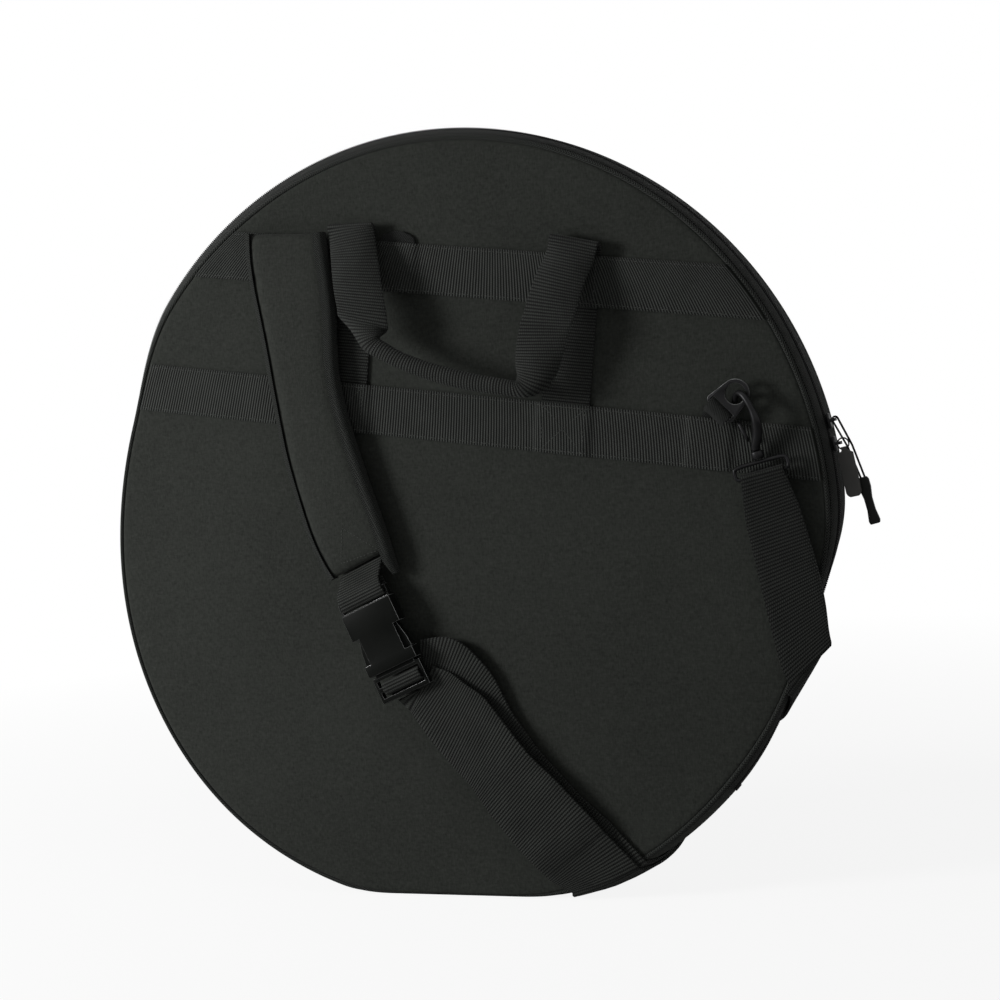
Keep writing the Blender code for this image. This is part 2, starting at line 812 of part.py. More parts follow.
def make_buckle_female():
    body_start = female_wall * 0.25
    body_length = female_end - body_start
    shape = box_mesh(
        "buckle_female", (buckle_width, body_length, buckle_thickness),
        (0.0, body_start + body_length / 2, 0.0), buckle_bevel,
    )
    item = add_object("buckle_female", shape, buckle_plastic)
    frame_length = body_start + female_wall - female_start
    frame_size = (buckle_width - clearance * 4, frame_length, female_frame_thickness)
    cut(item, [cutter("frame", frame_size, (0.0, female_start + frame_length / 2, 0.0))], "UNION")
    cavity_start = web_slot + female_wall
    cavity_length = female_end - cavity_start + buckle_bevel
    cavity_width = 2 * (prong_spread + prong_width / 2 + prong_head_width) + 4 * clearance
    inner_height = buckle_thickness - 2 * female_wall
    cavity_width = min(cavity_width, buckle_width - 2 * female_wall)
    window = buckle_width / 2 - window_depth
    slot_centre = (0.0, female_start + female_bar + web_slot / 2, 0.0)
    cavity_centre = (0.0, cavity_start + cavity_length / 2, 0.0)
    tools = [
        cutter("slot", (slot_width, web_slot, buckle_thickness * 2), slot_centre),
        cutter("cavity", (cavity_width, cavity_length, inner_height), cavity_centre),
    ]
    for side in (-1, 1):
        centre = (side * (window + window_depth), window_start + window_length / 2, 0.0)
        tools.append(cutter("window", (2 * window_depth, window_length, buckle_thickness * 2), centre))
    cut(item, tools)
    stand_buckle(item)


def make_buckle_male():
    frame = box_mesh(
        "buckle_male", (male_frame_width, male_frame_length, male_frame_thickness),
        (0.0, male_start + male_frame_length / 2, 0.0), buckle_bevel,
    )
    item = add_object("buckle_male", frame, buckle_plastic)
    inner_height = buckle_thickness - 2 * female_wall - 2 * clearance
    neck_start = female_end - female_wall
    neck_length = male_start + buckle_bevel - neck_start
    neck_centre = (0.0, neck_start + neck_length / 2, 0.0)
    neck = cutter("neck", (male_neck_width, neck_length, inner_height), neck_centre)
    guide_start = male_start - guide_length
    guide = cutter(
        "guide", (guide_width, guide_length + buckle_bevel, guide_thickness),
        (0.0, guide_start + (guide_length + buckle_bevel) / 2, 0.0),
    )
    cut(item, [neck, guide], "UNION")
    slot = (male_frame_length - 3 * male_bar) / 2
    slots = []
    for index in range(2):
        start = male_start + male_bar + index * (slot + male_bar)
        size = (slot_width - female_wall, slot, buckle_thickness)
        slots.append(cutter("slot", size, (0.0, start + slot / 2, 0.0)))
    cut(item, slots)
    stand_buckle(item)


def make_prong(name, side):
    """A springy arm of the male half: its head shows in the side window."""
    base = female_end - female_wall - clearance * 2
    tip = base - prong_length
    inner = prong_spread - prong_width / 2
    outer = prong_spread + prong_width / 2
    head_start = window_start + window_length - clearance * 3
    head_end = head_start - prong_head_length
    loop = [
        (inner, base), (outer, base), (outer, head_start + prong_head_width * 0.4),
        (outer + prong_head_width, head_start),
        (outer + prong_head_width * 0.8, head_end + prong_head_length * 0.4),
        (outer - prong_width * 0.4, tip), (inner, tip),
    ]
    loop = [(side * x, y) for x, y in loop]
    item = flat_outline(name, [loop], prong_thickness, clearance, buckle_plastic)
    stand_buckle(item)


def buckle_point(along, out, across=0.0):
    return buckle_place + buckle_axis * along + buckle_outward * out + buckle_cross * across


run_under = -(male_frame_thickness / 2 + clearance * 2 + strap_thickness / 2)
tail_under = run_under - strap_thickness - strap_layer_gap


# Strap webbing

def near_rim(across, y, up):
    """A place by its shares of the seam radius, which follow the rim's true radius near the rim."""
    reach = math.hypot(across, up)
    rim = rim_radius(math.atan2(up, across), 0.0, 0.0)
    scale = seam_radius + (rim - seam_radius) * reach ** 2
    return Vector((across * scale, y, up * scale))


def run_stations(shares, width, lift, base):
    """Stations of a strap run over the panel: place shares, width share and height share."""
    route = [near_rim(x, base - lift * height, z) for x, z, _, height in shares]
    stations = []
    last = len(route) - 1
    for index, (point, share) in enumerate(zip(route, shares)):
        tangent = route[min(index + 1, last)] - route[max(index - 1, 0)]
        side = Vector((-tangent.z, 0.0, tangent.x)).normalized()
        stations.append((*point, *side, width / 2 * share[2]))
    return stations


def crossing_places(lift):
    """Depth, rise and share of the way over the rim: round the piping, along the crown, round again."""
    reach = piping_radius + lift
    corner_y = half_depth - piping_radius
    corners = [math.radians(30) * step for step in range(4)]
    near = [(-corner_y - reach * math.cos(corner), reach * math.sin(corner)) for corner in corners]
    step = (gusset_end - tape_back_start) / 6
    places = [tape_back_start + step * index for index in range(7)]
    along = [(y, crown(y) + lift) for y in places]
    far = [(-y, rise) for y, rise in reversed(near)]
    return near + along + far


def crossing_rows(lift, shares, columns, last=None, bow=(0.0, 0.0)):
    """Rows that take a strap over the rim. Bow lifts each edge of it off the rim's middle."""
    half = strap_thickness / 2
    rows = []
    for y, rise in crossing_places(lift)[:last]:
        start, end = angles_at(shares, y)
        swell = max(0.0, 1 - (y / half_depth) ** 2)
        row = []
        for column in range(columns + 1):
            share = column / columns
            out = rise + swell * (bow[0] + (bow[1] - bow[0]) * share) + half
            row.append(rim_point(start + (end - start) * share, y, out, half))
        rows.append(row)
    return rows


def blend_rows(first, last, steps):
    """Rows that lead from one row to another, without either of them."""
    return [
        [start.lerp(end, step / steps) for start, end in zip(first, last)]
        for step in range(1, steps)
    ]


far_corner = -4
strap_stack = 2 * clearance + strap_thickness / 2
front_cross_lift = strap_stack + strap_thickness + strap_layer_gap
tail_cross_lift = strap_stack
hook_cross_lift = strap_stack + coil_stand


def angles_at(shares, y):
    """The two compass angles between which a strap crosses the rim at a depth."""
    share = min(max(y / half_depth, -1.0), 1.0)
    for (start, low, high), (end, next_low, next_high) in zip(shares, shares[1:]):
        if share <= end:
            t = (share - start) / (end - start)
            return math.radians(low + (next_low - low) * t), math.radians(high + (next_high - high) * t)
    return None


def make_front_run():
    base = panel_face - clearance - strap_thickness
    half = loop_width / 2
    turned_side = (buckle_cross * half - buckle_axis * run_slant).normalized()
    stations = [
        (*buckle_point(male_end + clearance * 4, run_under, run_shift), *buckle_cross, half),
        (*buckle_point(male_end + run_slant * 3, run_under * 0.9, run_shift * 1.9), *turned_side, half),
    ]
    stations += run_stations(front_run_shares, strap_width, strap_lift, base)
    rows = strip_rows(stations, 3, 3)
    rows += crossing_rows(front_cross_lift, front_cross_shares, 3)[:far_corner]
    sheet("strap_front_run", rows, strap_thickness, webbing_cloth)


def make_tail():
    stations = run_stations(tail_run_shares, strap_width, strap_lift, panel_face - strap_stack)
    rows = strip_rows(stations, 3, 3)
    rows += crossing_rows(tail_cross_lift, tail_cross_shares, 3, 10)
    sheet("strap_tail", rows, strap_thickness, webbing_cloth)


def make_bar_loop():
    """The strap's turn over the middle bar of the buckle's frame, joining the run and the tail."""
    slot = (male_frame_length - 3 * male_bar) / 2
    middle = male_start + male_bar * 1.5 + slot
    side = male_bar / 2 + slot / 2
    over = male_frame_thickness / 2 + clearance * 2 + strap_thickness / 2
    path = [
        (male_end, run_under), (middle + side + male_bar * 0.8, run_under),
        (middle + side + male_bar * 0.1, run_under * 0.62),
        (middle + side, 0.0), (middle + side * 0.86, over * 0.72), (middle + side * 0.5, over),
        (middle, over * 1.03), (middle - side * 0.5, over), (middle - side * 0.86, over * 0.72),
        (middle - side, 0.0), (middle - side, run_under * 0.62), (middle - side * 0.72, tail_under * 0.84),
        (middle - side * 0.2, tail_under), (middle + side * 0.4, tail_under),
    ]
    rows = []
    for index, (along, out) in enumerate(path):
        shift = slot_shift + (run_shift - slot_shift) * max(0.0, 1 - index / 2)
        edges = (shift - loop_width / 2, shift + loop_width / 2)
        rows.append([buckle_point(along, out, across) for across in edges])
    sheet("strap_bar_loop", rows, strap_thickness, webbing_cloth)


def make_pad_webbing():
    """Webbing from the pad's end, over the buckle's bar and back under itself."""
    last = Vector((pad_route_shares[-1][0] * seam_radius, pad_y, pad_route_shares[-1][1] * seam_radius))
    before = Vector((pad_route_shares[-2][0] * seam_radius, pad_y, pad_route_shares[-2][1] * seam_radius))
    ahead = (last - before).normalized()
    side = Vector((-ahead.z, 0.0, ahead.x))
    start = last + ahead * clearance * 4
    over = female_frame_thickness / 2 + clearance * 2 + pad_web_thickness / 2
    bar = female_start + female_bar / 2
    slot = female_start + female_bar + web_slot / 2
    path = [
        (bar - female_bar * 2.2, over * 0.1), (bar - female_bar * 0.9, over * 0.9), (bar, over),
        (slot - web_slot * 0.3, over * 0.9), (slot, over * 0.5), (slot, -over * 0.5),
        (slot - web_slot * 0.3, -over * 0.9), (bar, -over), (bar - female_bar * 0.9, -over * 1.05),
        (bar - female_bar * 2.2, -over * 1.1),
    ]
    rows = [[start - side * pad_web_width / 2, start + side * pad_web_width / 2]]
    for along, out in path:
        rows.append([buckle_point(along, out, across) for across in (-pad_web_width / 2, pad_web_width / 2)])
    sheet("pad_webbing", rows, pad_web_thickness, webbing_cloth)


def make_back_run():
    """The strap's stretch behind the bag: a wide run sewn to the narrow one that carries the hook."""
    base = half_depth + strap_stack
    stations = [
        (*near_rim(x, base + height * strap_lift, z), width)
        for x, z, width, height in back_run_shares
    ]
    route = []
    last = len(stations) - 1
    for index, (x, y, z, width) in enumerate(stations):
        ahead = Vector(stations[min(index + 1, last)][0:3]) - Vector(stations[max(index - 1, 0)][0:3])
        side = Vector((-ahead.z, 0.0, ahead.x)).normalized() * -1
        route.append((x, y, z, *side, strap_width / 2 * width))
    rows = strip_rows(route, 3, 3)
    corner = crossing_rows(front_cross_lift, front_cross_shares, 3)[far_corner - 1:]
    gap = clearance * 4 / (corner[1][0] - corner[0][0]).length
    corner[0] = [start.lerp(end, gap) for start, end in zip(corner[0], corner[1])]
    rows = [*corner, *blend_rows(corner[-1], rows[0], 3), *rows]
    sheet("strap_back_run", rows, strap_thickness, webbing_cloth)


def make_hook_strap():
    base = panel_face - clearance - strap_thickness
    stations = run_stations(hook_run_shares, hook_strap_width, strap_lift, base)
    face_rows = strip_rows(stations, 2, 3)
    middle = ring_middle - hook_axis * (ring_height / 2)
    turn = ring_wire + strap_thickness / 2 + clearance * 2
    loop_rows = []
    path = [
        (-ring_height * 2.4, -turn * 1.02), (-ring_height * 0.6, -turn * 1.02), (0.0, -turn),
        (turn * 0.75, -turn * 0.7), (turn, 0.0), (turn * 0.75, turn * 0.7), (0.0, turn * 1.05),
    ]
    for along, out in path:
        centre = middle + hook_axis * along + buckle_outward * out
        half = hook_loop_width / 2
        loop_rows.append([centre + hook_across * half * (2 * column / 3 - 1) for column in range(4)])
    cross = crossing_rows(hook_cross_lift, hook_cross_shares, 3, None, hook_bow)
    back = []
    far_base = half_depth + strap_stack
    places = [
        tuple(near_rim(x, far_base + height * strap_lift, z))
        for x, z, _, height in hook_back_shares
    ]
    last = len(places) - 1
    for index, place in enumerate(places):
        ahead = Vector(places[min(index + 1, last)]) - Vector(places[max(index - 1, 0)])
        side = Vector((ahead.z, 0.0, -ahead.x)).normalized()
        back.append((*place, *side, hook_strap_width / 2))
    back_rows = strip_rows(back, 2, 3)
    rows = [*loop_rows, *face_rows, *blend_rows(face_rows[-1], cross[0], 4), *cross]
    rows += [*blend_rows(cross[-1], back_rows[0], 3), *back_rows]
    sheet("hook_strap", rows, strap_thickness, webbing_cloth)


# Snap hook and the plate it is clipped to

hook_across = Vector((hook_axis.z, 0.0, -hook_axis.x))
hook_place = Vector((hook_across_panel, panel_face - hook_lift, lower_band_height - hook_drop))
ring_middle = hook_place - hook_axis * (ring_height / 2 + ring_wire)


def hook_point(across, out, along):
    """A place by its distance across the hook, off its ring's plane and along the hook."""
    return hook_place + hook_across * across + buckle_outward * out + hook_axis * along


def make_hook_ring():
    points = []
    for step in range(24):
        corner = 2 * math.pi * step / 24
        x = math.copysign(abs(math.cos(corner)) ** ring_square_share, math.cos(corner)) * ring_width / 2
        z = math.copysign(abs(math.sin(corner)) ** ring_square_share, math.sin(corner)) * ring_height / 2
        points.append(ring_middle + hook_across * x + hook_axis * z)
    tube("hook_ring", points, ring_wire, black_metal, True, 1)


hook_route_shares = (
    (0.01, 0.01, 9.0), (0.16, 0.10, 12.0), (0.48, 0.32, 17.5), (0.75, 0.60, 26), (0.70, 0.70, 36),
    (0.40, 0.55, 46), (0.00, 0.15, 50.5), (-0.45, -0.30, 48.5), (-0.75, -0.47, 42), (-0.83, -0.45, 35.5),
)
gate_route_shares = ((-0.36, -0.16, 13), (-0.58, -0.26, 22), (-0.83, -0.38, 32.6))
hook_scale = 0.010


def hook_places(shares):
    return [
        hook_point(across * hook_scale, out * hook_scale, along * hook_scale / 10)
        for across, out, along in shares
    ]


def make_hook():
    profile = (
        (collar_radius, collar_length), (collar_radius, collar_length * 0.35),
        (collar_radius * 0.8, clearance),
    )
    collar = turned("hook_collar", profile, black_metal)
    stand_on(collar, hook_place, buckle_outward * -1, hook_axis)
    shank = [hook_point(0.0, 0.0, collar_length + clearance * 2)]
    points = smooth_route([tuple(point) for point in shank + hook_places(hook_route_shares)], 2)
    tube("hook_body", points, hook_wire, black_metal, False, 2)
    gate = smooth_route([tuple(point) for point in hook_places(gate_route_shares)], 2)
    tube("hook_gate", gate, gate_radius, black_metal, False, 2)


def circle_points(x, y, radius, steps):
    corners = [2 * math.pi * step / steps for step in range(steps)]
    return [(x + radius * math.cos(corner), y + radius * math.sin(corner)) for corner in corners]


def turned(name, profile, material, steps=20):
    """A closed solid turned about Z from a profile of radius and height, top to bottom."""
    rings = [
        [Vector((x, y, height)) for x, y in circle_points(0.0, 0.0, radius, steps)]
        for radius, height in profile
    ]
    return loft(name, rings, material)


plate_along = Vector((math.cos(plate_turn), 0.0, math.sin(plate_turn)))
plate_across = Vector((plate_along.z, 0.0, -plate_along.x))
plate_place = hook_point(-plate_sideways, plate_rise, plate_ahead)


def plate_point(along, across, out):
    return plate_place + plate_along * along + plate_across * across + buckle_outward * out


def outer_points(points):
    """Points that a band stretched round all of them would touch, in order."""
    ordered = sorted(points)
    sides = []
    for run in (ordered, list(reversed(ordered))):
        side = []
        for point in run:
            while len(side) > 1:
                first = Vector(side[-1]) - Vector(side[-2])
                second = Vector(point) - Vector(side[-1])
                if first.cross(second) > 0:
                    break
                side.pop()
            side.append(point)
        sides += side[:-1]
    return sides


def make_plate():
    corner = plate_base_width / 2 - plate_corner
    points = circle_points(0.0, plate_length, plate_apex_radius, 24)
    points += circle_points(corner, plate_corner, plate_corner, 12)
    points += circle_points(-corner, plate_corner, plate_corner, 12)
    hole = circle_points(0.0, plate_length, plate_hole_radius, 20)
    half = plate_slot_width / 2
    low = plate_bar
    high = plate_bar + plate_slot_height
    slot = [(-half, low), (half, low), (half, high), (-half, high)]
    loops = [outer_points(points), hole, slot]
    item = flat_outline("ring_plate", loops, plate_thickness, clearance, black_metal)
    stand_on(item, plate_place, plate_along, buckle_outward)


def make_plate_tab():
    """Webbing from under the lower band, through the plate's slot and down over the band."""
    flat = panel_face - clearance - tab_web_thickness / 2
    rows = []
    for left_x, left_z, right_x, right_z, out in tab_row_shares:
        y = flat - out * band_width
        rows.append([
            Vector((hook_across_panel + x * band_width, y, lower_band_height + z * band_width))
            for x, z in ((left_x, left_z), (right_x, right_z))
        ])
    off = plate_thickness / 2 + tab_web_thickness / 2 + clearance
    turn = plate_bar + tab_web_thickness / 2 + clearance
    half = tab_web_width / 2
    path = [
        (plate_bar * 0.93, -off * 1.1), (turn * 1.16, -off * 0.72), (turn * 1.32, 0.0),
        (turn * 1.16, off * 0.72), (plate_bar * 0.93, off * 1.1), (0.0, off),
        (-plate_bar * 1.1, off * 0.5), (-plate_bar * 2.2, -off),
    ]
    for along, out in path:
        rows.append([plate_point(along, across, out) for across in (-half, half)])
    sheet("plate_tab", rows, tab_web_thickness, webbing_cloth)


# Zip sliders and their pulls

slider_bridge = 2 * pull_cord_radius + 2 * clearance + slider_post * 0.75
slider_foot = crown(coil_middle) + coil_stand + slider_lift
bar_rise = slider_foot + slider_height + slider_bridge


def bar_place(angle, lane):
    return rim_point(angle, coil_middle + lane, bar_rise)


def make_slider(name, angle):
    """A slider over the coil, with a bar on two posts for its pull."""
    size = (slider_length, slider_width, slider_height)
    shape = box_mesh(name, size, (0.0, 0.0, slider_height / 2), clearance * 2)
    item = add_object(name, shape, black_metal)
    post_y = slider_width / 2 - slider_post / 2 - clearance * 2
    post_height = slider_bridge + slider_post / 2 + slider_height / 2
    middle = slider_height / 2 + post_height / 2
    tools = [
        cutter("post", (slider_post * 1.6, slider_post, post_height), (0.0, side * post_y, middle))
        for side in (-1, 1)
    ]
    bar_size = (slider_post, slider_width - 2 * slider_post, slider_post)
    tools.append(cutter("bar", bar_size, (0.0, 0.0, slider_height + slider_bridge)))
    cut(item, tools, "UNION")
    outward = Vector((math.cos(angle), 0.0, math.sin(angle)))
    forward = Vector((-math.sin(angle), 0.0, math.cos(angle)))
    depth = outward.cross(forward)
    stand_on(item, rim_point(angle, coil_middle, slider_foot), depth, outward)


def make_lower_pull():
    bar = bar_place(lower_slider_angle, -ring_lane)
    outward = Vector((math.cos(lower_slider_angle), 0.0, math.sin(lower_slider_angle)))
    play = pull_ring_radius - pull_ring_wire - slider_post * 0.75 - clearance
    middle = bar + (outward * 0.9 + tab_hang * 0.45).normalized() * play
    across = tab_hang.cross(buckle_outward)
    points = []
    for step in range(24):
        corner = 2 * math.pi * step / 24
        offset = across * math.cos(corner) + tab_hang * math.sin(corner)
        points.append(middle + offset * pull_ring_radius)
    tube("ring_lower", points, pull_ring_wire, black_metal, True, 1)
    neck = pull_tab_neck / 2
    half = pull_tab_width / 2
    top = pull_ring_radius - pull_ring_wire - slider_post
    end = top + pull_tab_length
    shoulder = top + pull_tab_shoulder
    loop = [
        (neck, top), (neck, top + pull_tab_shoulder * 0.55), (half, shoulder), (half, end - half * 0.6),
        (half * 0.85, end - half * 0.25), (half * 0.55, end), (-half * 0.55, end),
        (-half * 0.85, end - half * 0.25), (-half, end - half * 0.6), (-half, shoulder),
        (-neck, top + pull_tab_shoulder * 0.55), (-neck, top),
    ]
    item = flat_outline("tab_lower", [loop], pull_tab_thickness, clearance, pull_rubber)
    room = 2 * (pull_ring_wire + clearance)
    eye_centre = (0.0, pull_ring_radius - pull_ring_wire * 0.4, 0.0)
    cut(item, [cutter("eye", (pull_tab_width, room * 1.4, room), eye_centre)])
    stand_on(item, middle, tab_hang, buckle_outward)


def make_upper_pull():
    bar = bar_place(upper_slider_angle, cord_lane)
    across = knee_hang.cross(buckle_outward)
    shift = Vector((0.0, grip_lane - cord_lane, 0.0))
    turn = slider_post * 0.72 + clearance + pull_cord_radius
    knee = bar + knee_hang * pull_knee_length + shift / 2
    end = knee + cord_hang * pull_cord_length + shift / 2
    close = pull_grip_waist / 4
    points = [end + across * close, knee + across * (turn + close) / 2]
    points += [
        bar + across * turn * math.cos(corner) - knee_hang * turn * math.sin(corner)
        for corner in (math.pi * step / 6 for step in range(7))
    ]
    points += [knee - across * (turn + close) / 2, end - across * close]
    tube("cord_upper", points, pull_cord_radius, webbing_cloth, False, 1)
    half = pull_grip_width / 2
    waist = pull_grip_waist / 2
    length = pull_grip_length
    side = [(half * 0.75, 0.0), (half, length * 0.06), (half, length * 0.22), (waist, length * 0.45),
            (waist, length * 0.7), (half * 0.95, length * 0.93), (half * 0.8, length)]
    loop = side + [(-x, y) for x, y in reversed(side)]
    item = flat_outline("grip_upper", [loop], pull_grip_thickness, clearance * 3, pull_rubber)
    start = end + grip_hang * (clearance + pull_cord_radius * 0.4)
    stand_on(item, start, grip_hang, buckle_outward)


def make_parts():
    make_padded_side("back", -1)
    make_padded_side("front", 1)
    make_zip()
    make_gussets()
    make_bands()
    make_handle_strip("handle_strip_left", -1)
    make_handle_strip("handle_strip_right", 1)
    make_anchor_tab()
    make_handle()
    make_pad()
    make_buckle_female()
    make_buckle_male()
    make_prong("prong_left", 1)
    make_prong("prong_right", -1)
    make_pad_webbing()
    make_bar_loop()
    make_front_run()
    make_tail()
    make_back_run()
    make_hook_strap()
    make_hook_ring()
    make_hook()
    make_plate()
    make_plate_tab()
    make_slider("slider_upper", upper_slider_angle)
    make_slider("slider_lower", lower_slider_angle)
    make_upper_pull()
    make_lower_pull()


def stand_up():
    """Turn every piece with the bag, and set its flat stretch on the ground."""
    upright = Matrix.Translation((0.0, 0.0, foot_distance)) @ Matrix.Rotation(stand_turn, 4, "Y")
    bpy.context.view_layer.update()
    for item in bag_collection.objects:
        if item.parent is None:
            item.matrix_world = upright @ item.matrix_world


make_parts()
stand_up()
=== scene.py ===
import math

import bpy
from mathutils import Matrix, Vector, noise


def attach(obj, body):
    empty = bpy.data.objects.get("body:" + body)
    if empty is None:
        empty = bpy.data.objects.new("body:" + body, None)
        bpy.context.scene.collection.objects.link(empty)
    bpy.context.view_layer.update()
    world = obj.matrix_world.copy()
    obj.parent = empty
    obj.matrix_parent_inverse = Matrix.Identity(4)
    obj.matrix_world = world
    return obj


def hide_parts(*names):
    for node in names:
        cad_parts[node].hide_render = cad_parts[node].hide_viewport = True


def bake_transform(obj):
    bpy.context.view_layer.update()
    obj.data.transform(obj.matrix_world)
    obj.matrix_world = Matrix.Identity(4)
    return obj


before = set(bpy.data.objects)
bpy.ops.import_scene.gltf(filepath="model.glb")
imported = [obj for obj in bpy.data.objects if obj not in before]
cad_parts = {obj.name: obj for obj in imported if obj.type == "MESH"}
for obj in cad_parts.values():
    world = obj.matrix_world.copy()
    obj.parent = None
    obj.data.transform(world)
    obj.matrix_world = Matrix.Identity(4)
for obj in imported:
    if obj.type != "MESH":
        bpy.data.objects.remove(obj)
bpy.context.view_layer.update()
print("frame loaded:", len(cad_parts), "solids")


# The bag's own outline, upright about the middle of its panels, in metres, degrees and shares of the seam's radius
# (pinch: where the strap draws the far edge of the rim in; lean: where the near seam lies further in)
bag = {
    "seamRadius": 0.298, "halfDepth": 0.029, "crown": 0.0065, "crownShare": 0.6,
    "footDistance": 0.2945, "footBlend": 0.005, "footHalf": 60, "turn": 9,
    "outline": [
        (9, 1.003), (150, 1.003), (170, 0.970), (240, 1.043),
        (300, 1.000), (330, 0.982), (352, 0.981), (369, 1.003),
    ],
    "pinchDepth": 0.017, "pinchMiddle": -12, "pinchHalf": 24,
    "leanDepth": 0.0062, "leanMiddle": 138, "leanHalf": 75,
    "piping": 0.0018, "gap": 0.0003, "hingeHalf": 45,
}
radius = bag["seamRadius"]
gap = bag["gap"]
panelFace = -bag["halfDepth"]
stand = Matrix.Translation((0, 0, bag["footDistance"])) @ Matrix.Rotation(math.radians(bag["turn"]), 4, "Y")
footAngle = math.radians(bag["turn"] - 90)
towardViewer = Vector((0, -1, 0))


def outlineShare(angle):
    degrees = math.degrees(angle) % 360
    if degrees < bag["outline"][0][0]:
        degrees += 360
    for (start, first), (end, second) in zip(bag["outline"], bag["outline"][1:]):
        if degrees <= end:
            t = (degrees - start) / (end - start)
            return first + (second - first) * t * t * (3 - 2 * t)
    return bag["outline"][-1][1]


def angleFrom(angle, middle):
    return (angle - middle + math.pi) % (2 * math.pi) - math.pi


def rimRadius(angle, outward, inset):
    reach = radius * outlineShare(angle) + outward - inset
    turn = angleFrom(angle, footAngle)
    if abs(turn) > math.radians(bag["footHalf"]):
        return reach
    flat = (bag["footDistance"] - inset) / math.cos(turn)
    overlap = max(bag["footBlend"] - abs(reach - flat), 0) / bag["footBlend"]
    return min(reach, flat) - overlap ** 2 * bag["footBlend"] / 4


def bump(angle, middle, half):  # 1 at the middle, easing to 0 at half so many degrees away
    turn = angleFrom(angle, math.radians(middle)) / math.radians(half)
    return math.cos(turn * math.pi / 2) ** 2 if abs(turn) <= 1 else 0.0


def pinch(angle, y):
    swell = bump(angle, bag["pinchMiddle"], bag["pinchHalf"])
    return bag["pinchDepth"] * swell * (y + bag["halfDepth"]) / bag["halfDepth"] / 2


def seamInset(angle):
    return bag["leanDepth"] * bump(angle, bag["leanMiddle"], bag["leanHalf"])


def rimPoint(angle, y, outward, inset=0.0):
    reach = rimRadius(angle, outward, inset) - pinch(angle, y)
    return Vector((reach * math.cos(angle), y, reach * math.sin(angle)))


def crown(y):
    share = min(max((y / bag["halfDepth"] + 1) / 2, 0.0), 1.0)
    return bag["crown"] * math.sin(math.pi * share) ** bag["crownShare"]


# Modelling helpers

mergeDistance = gap / 30
# shares of the webbing's thickness, and degrees
webEdge = {"core": 0.96, "bevel": 0.28, "segments": 2, "angle": 60}


def pickOnly(*pieces):
    bpy.ops.object.select_all(action="DESELECT")
    for piece in pieces:
        piece.select_set(True)
    if pieces:
        bpy.context.view_layer.objects.active = pieces[0]


def edit(piece, *steps):  # each step is an operator and its settings, run on all of the piece
    pickOnly(piece)
    bpy.ops.object.mode_set(mode="EDIT")
    bpy.ops.mesh.select_all(action="SELECT")
    for operator, settings in steps:
        operator(**settings)
    bpy.ops.object.mode_set(mode="OBJECT")


def shape(piece, kind, **settings):
    modifier = piece.modifiers.new(kind.lower(), kind)
    for key, value in settings.items():
        setattr(modifier, key, value)
    pickOnly(piece)
    bpy.ops.object.modifier_apply(modifier=modifier.name)


def smoothRoute(stations, samples):  # Catmull-Rom through tuples of numbers
    padded = [stations[0], *stations, stations[-1]]
    route = []
    for index in range(len(stations) - 1):
        before, start, end, after = padded[index:index + 4]
        for step in range(samples):
            t = step / samples
            route.append(tuple(
                0.5 * (2 * s + (e - b) * t + (2 * b - 5 * s + 4 * e - a) * t ** 2
                       + (3 * s - b - 3 * e + a) * t ** 3)
                for b, s, e, a in zip(before, start, end, after)
            ))
    route.append(tuple(stations[-1]))
    return route


def gridPiece(name, rows, closed=False, flatMap=False):
    # a grid primitive laid along rows of places, with a map named cloth that is in metres
    pickOnly()
    across = len(rows[0]) - 1
    bpy.ops.mesh.primitive_grid_add(x_subdivisions=across, y_subdivisions=len(rows) - 1, size=radius)
    piece = bpy.context.object
    piece.name = name
    mesh = piece.data
    mesh.name = name
    places = [Vector(place) for row in rows for place in row]
    for vertex, place in zip(mesh.vertices, places):
        vertex.co = stand @ place
    middle = across // 2
    along = [0.0]
    for row, following in zip(rows, rows[1:]):
        along.append(along[-1] + (Vector(following[middle]) - Vector(row[middle])).length)
    spots = []
    for reach, row in zip(along, rows):
        if flatMap:
            spots += [(place[0], place[2]) for place in row]
            continue
        run = [0.0]
        for place, following in zip(row, row[1:]):
            run.append(run[-1] + (Vector(following) - Vector(place)).length)
        spots += [(reach, step - run[-1] / 2) for step in run]
    layer = mesh.uv_layers[0]
    layer.name = "cloth"
    for loop in mesh.loops:
        layer.data[loop.index].uv = spots[loop.vertex_index]
    mesh.update()
    if closed:
        edit(piece, (bpy.ops.mesh.remove_doubles, {"threshold": mergeDistance}),
             (bpy.ops.mesh.normals_make_consistent, {"inside": False}))
    return piece


def soften(piece, angle=40):
    pickOnly(piece)
    bpy.ops.object.shade_smooth_by_angle(angle=math.radians(angle))


def bevel(piece, width, segments, angle, slotIndex=-1):
    shape(piece, "BEVEL", width=width, segments=segments, limit_method="ANGLE",
          angle_limit=math.radians(angle), material=slotIndex)


def crossed(direction):  # a quarter turn within the panel's plane
    return Vector((direction.z, 0.0, -direction.x))


def turnFaces(piece, outward):
    # flips the faces unless most of them look the way that outward gives for a face
    if sum(outward(face).dot(face.normal) * face.area for face in piece.data.polygons) < 0:
        edit(piece, (bpy.ops.mesh.flip_normals, {}))


def refine(rows, samples, columns):
    # more rows through the same ones, and columns evenly between the old columns
    count = len(rows[0])
    flat = [tuple(number for place in row for number in place) for row in rows]
    fine = []
    for station in smoothRoute(flat, samples):
        points = [Vector(station[3 * index:3 * index + 3]) for index in range(count)]
        row = []
        for column in range(columns + 1):
            share = column / columns * (count - 1)
            index = min(int(share), count - 2)
            row.append(points[index].lerp(points[index + 1], share - index))
        fine.append(row)
    return fine


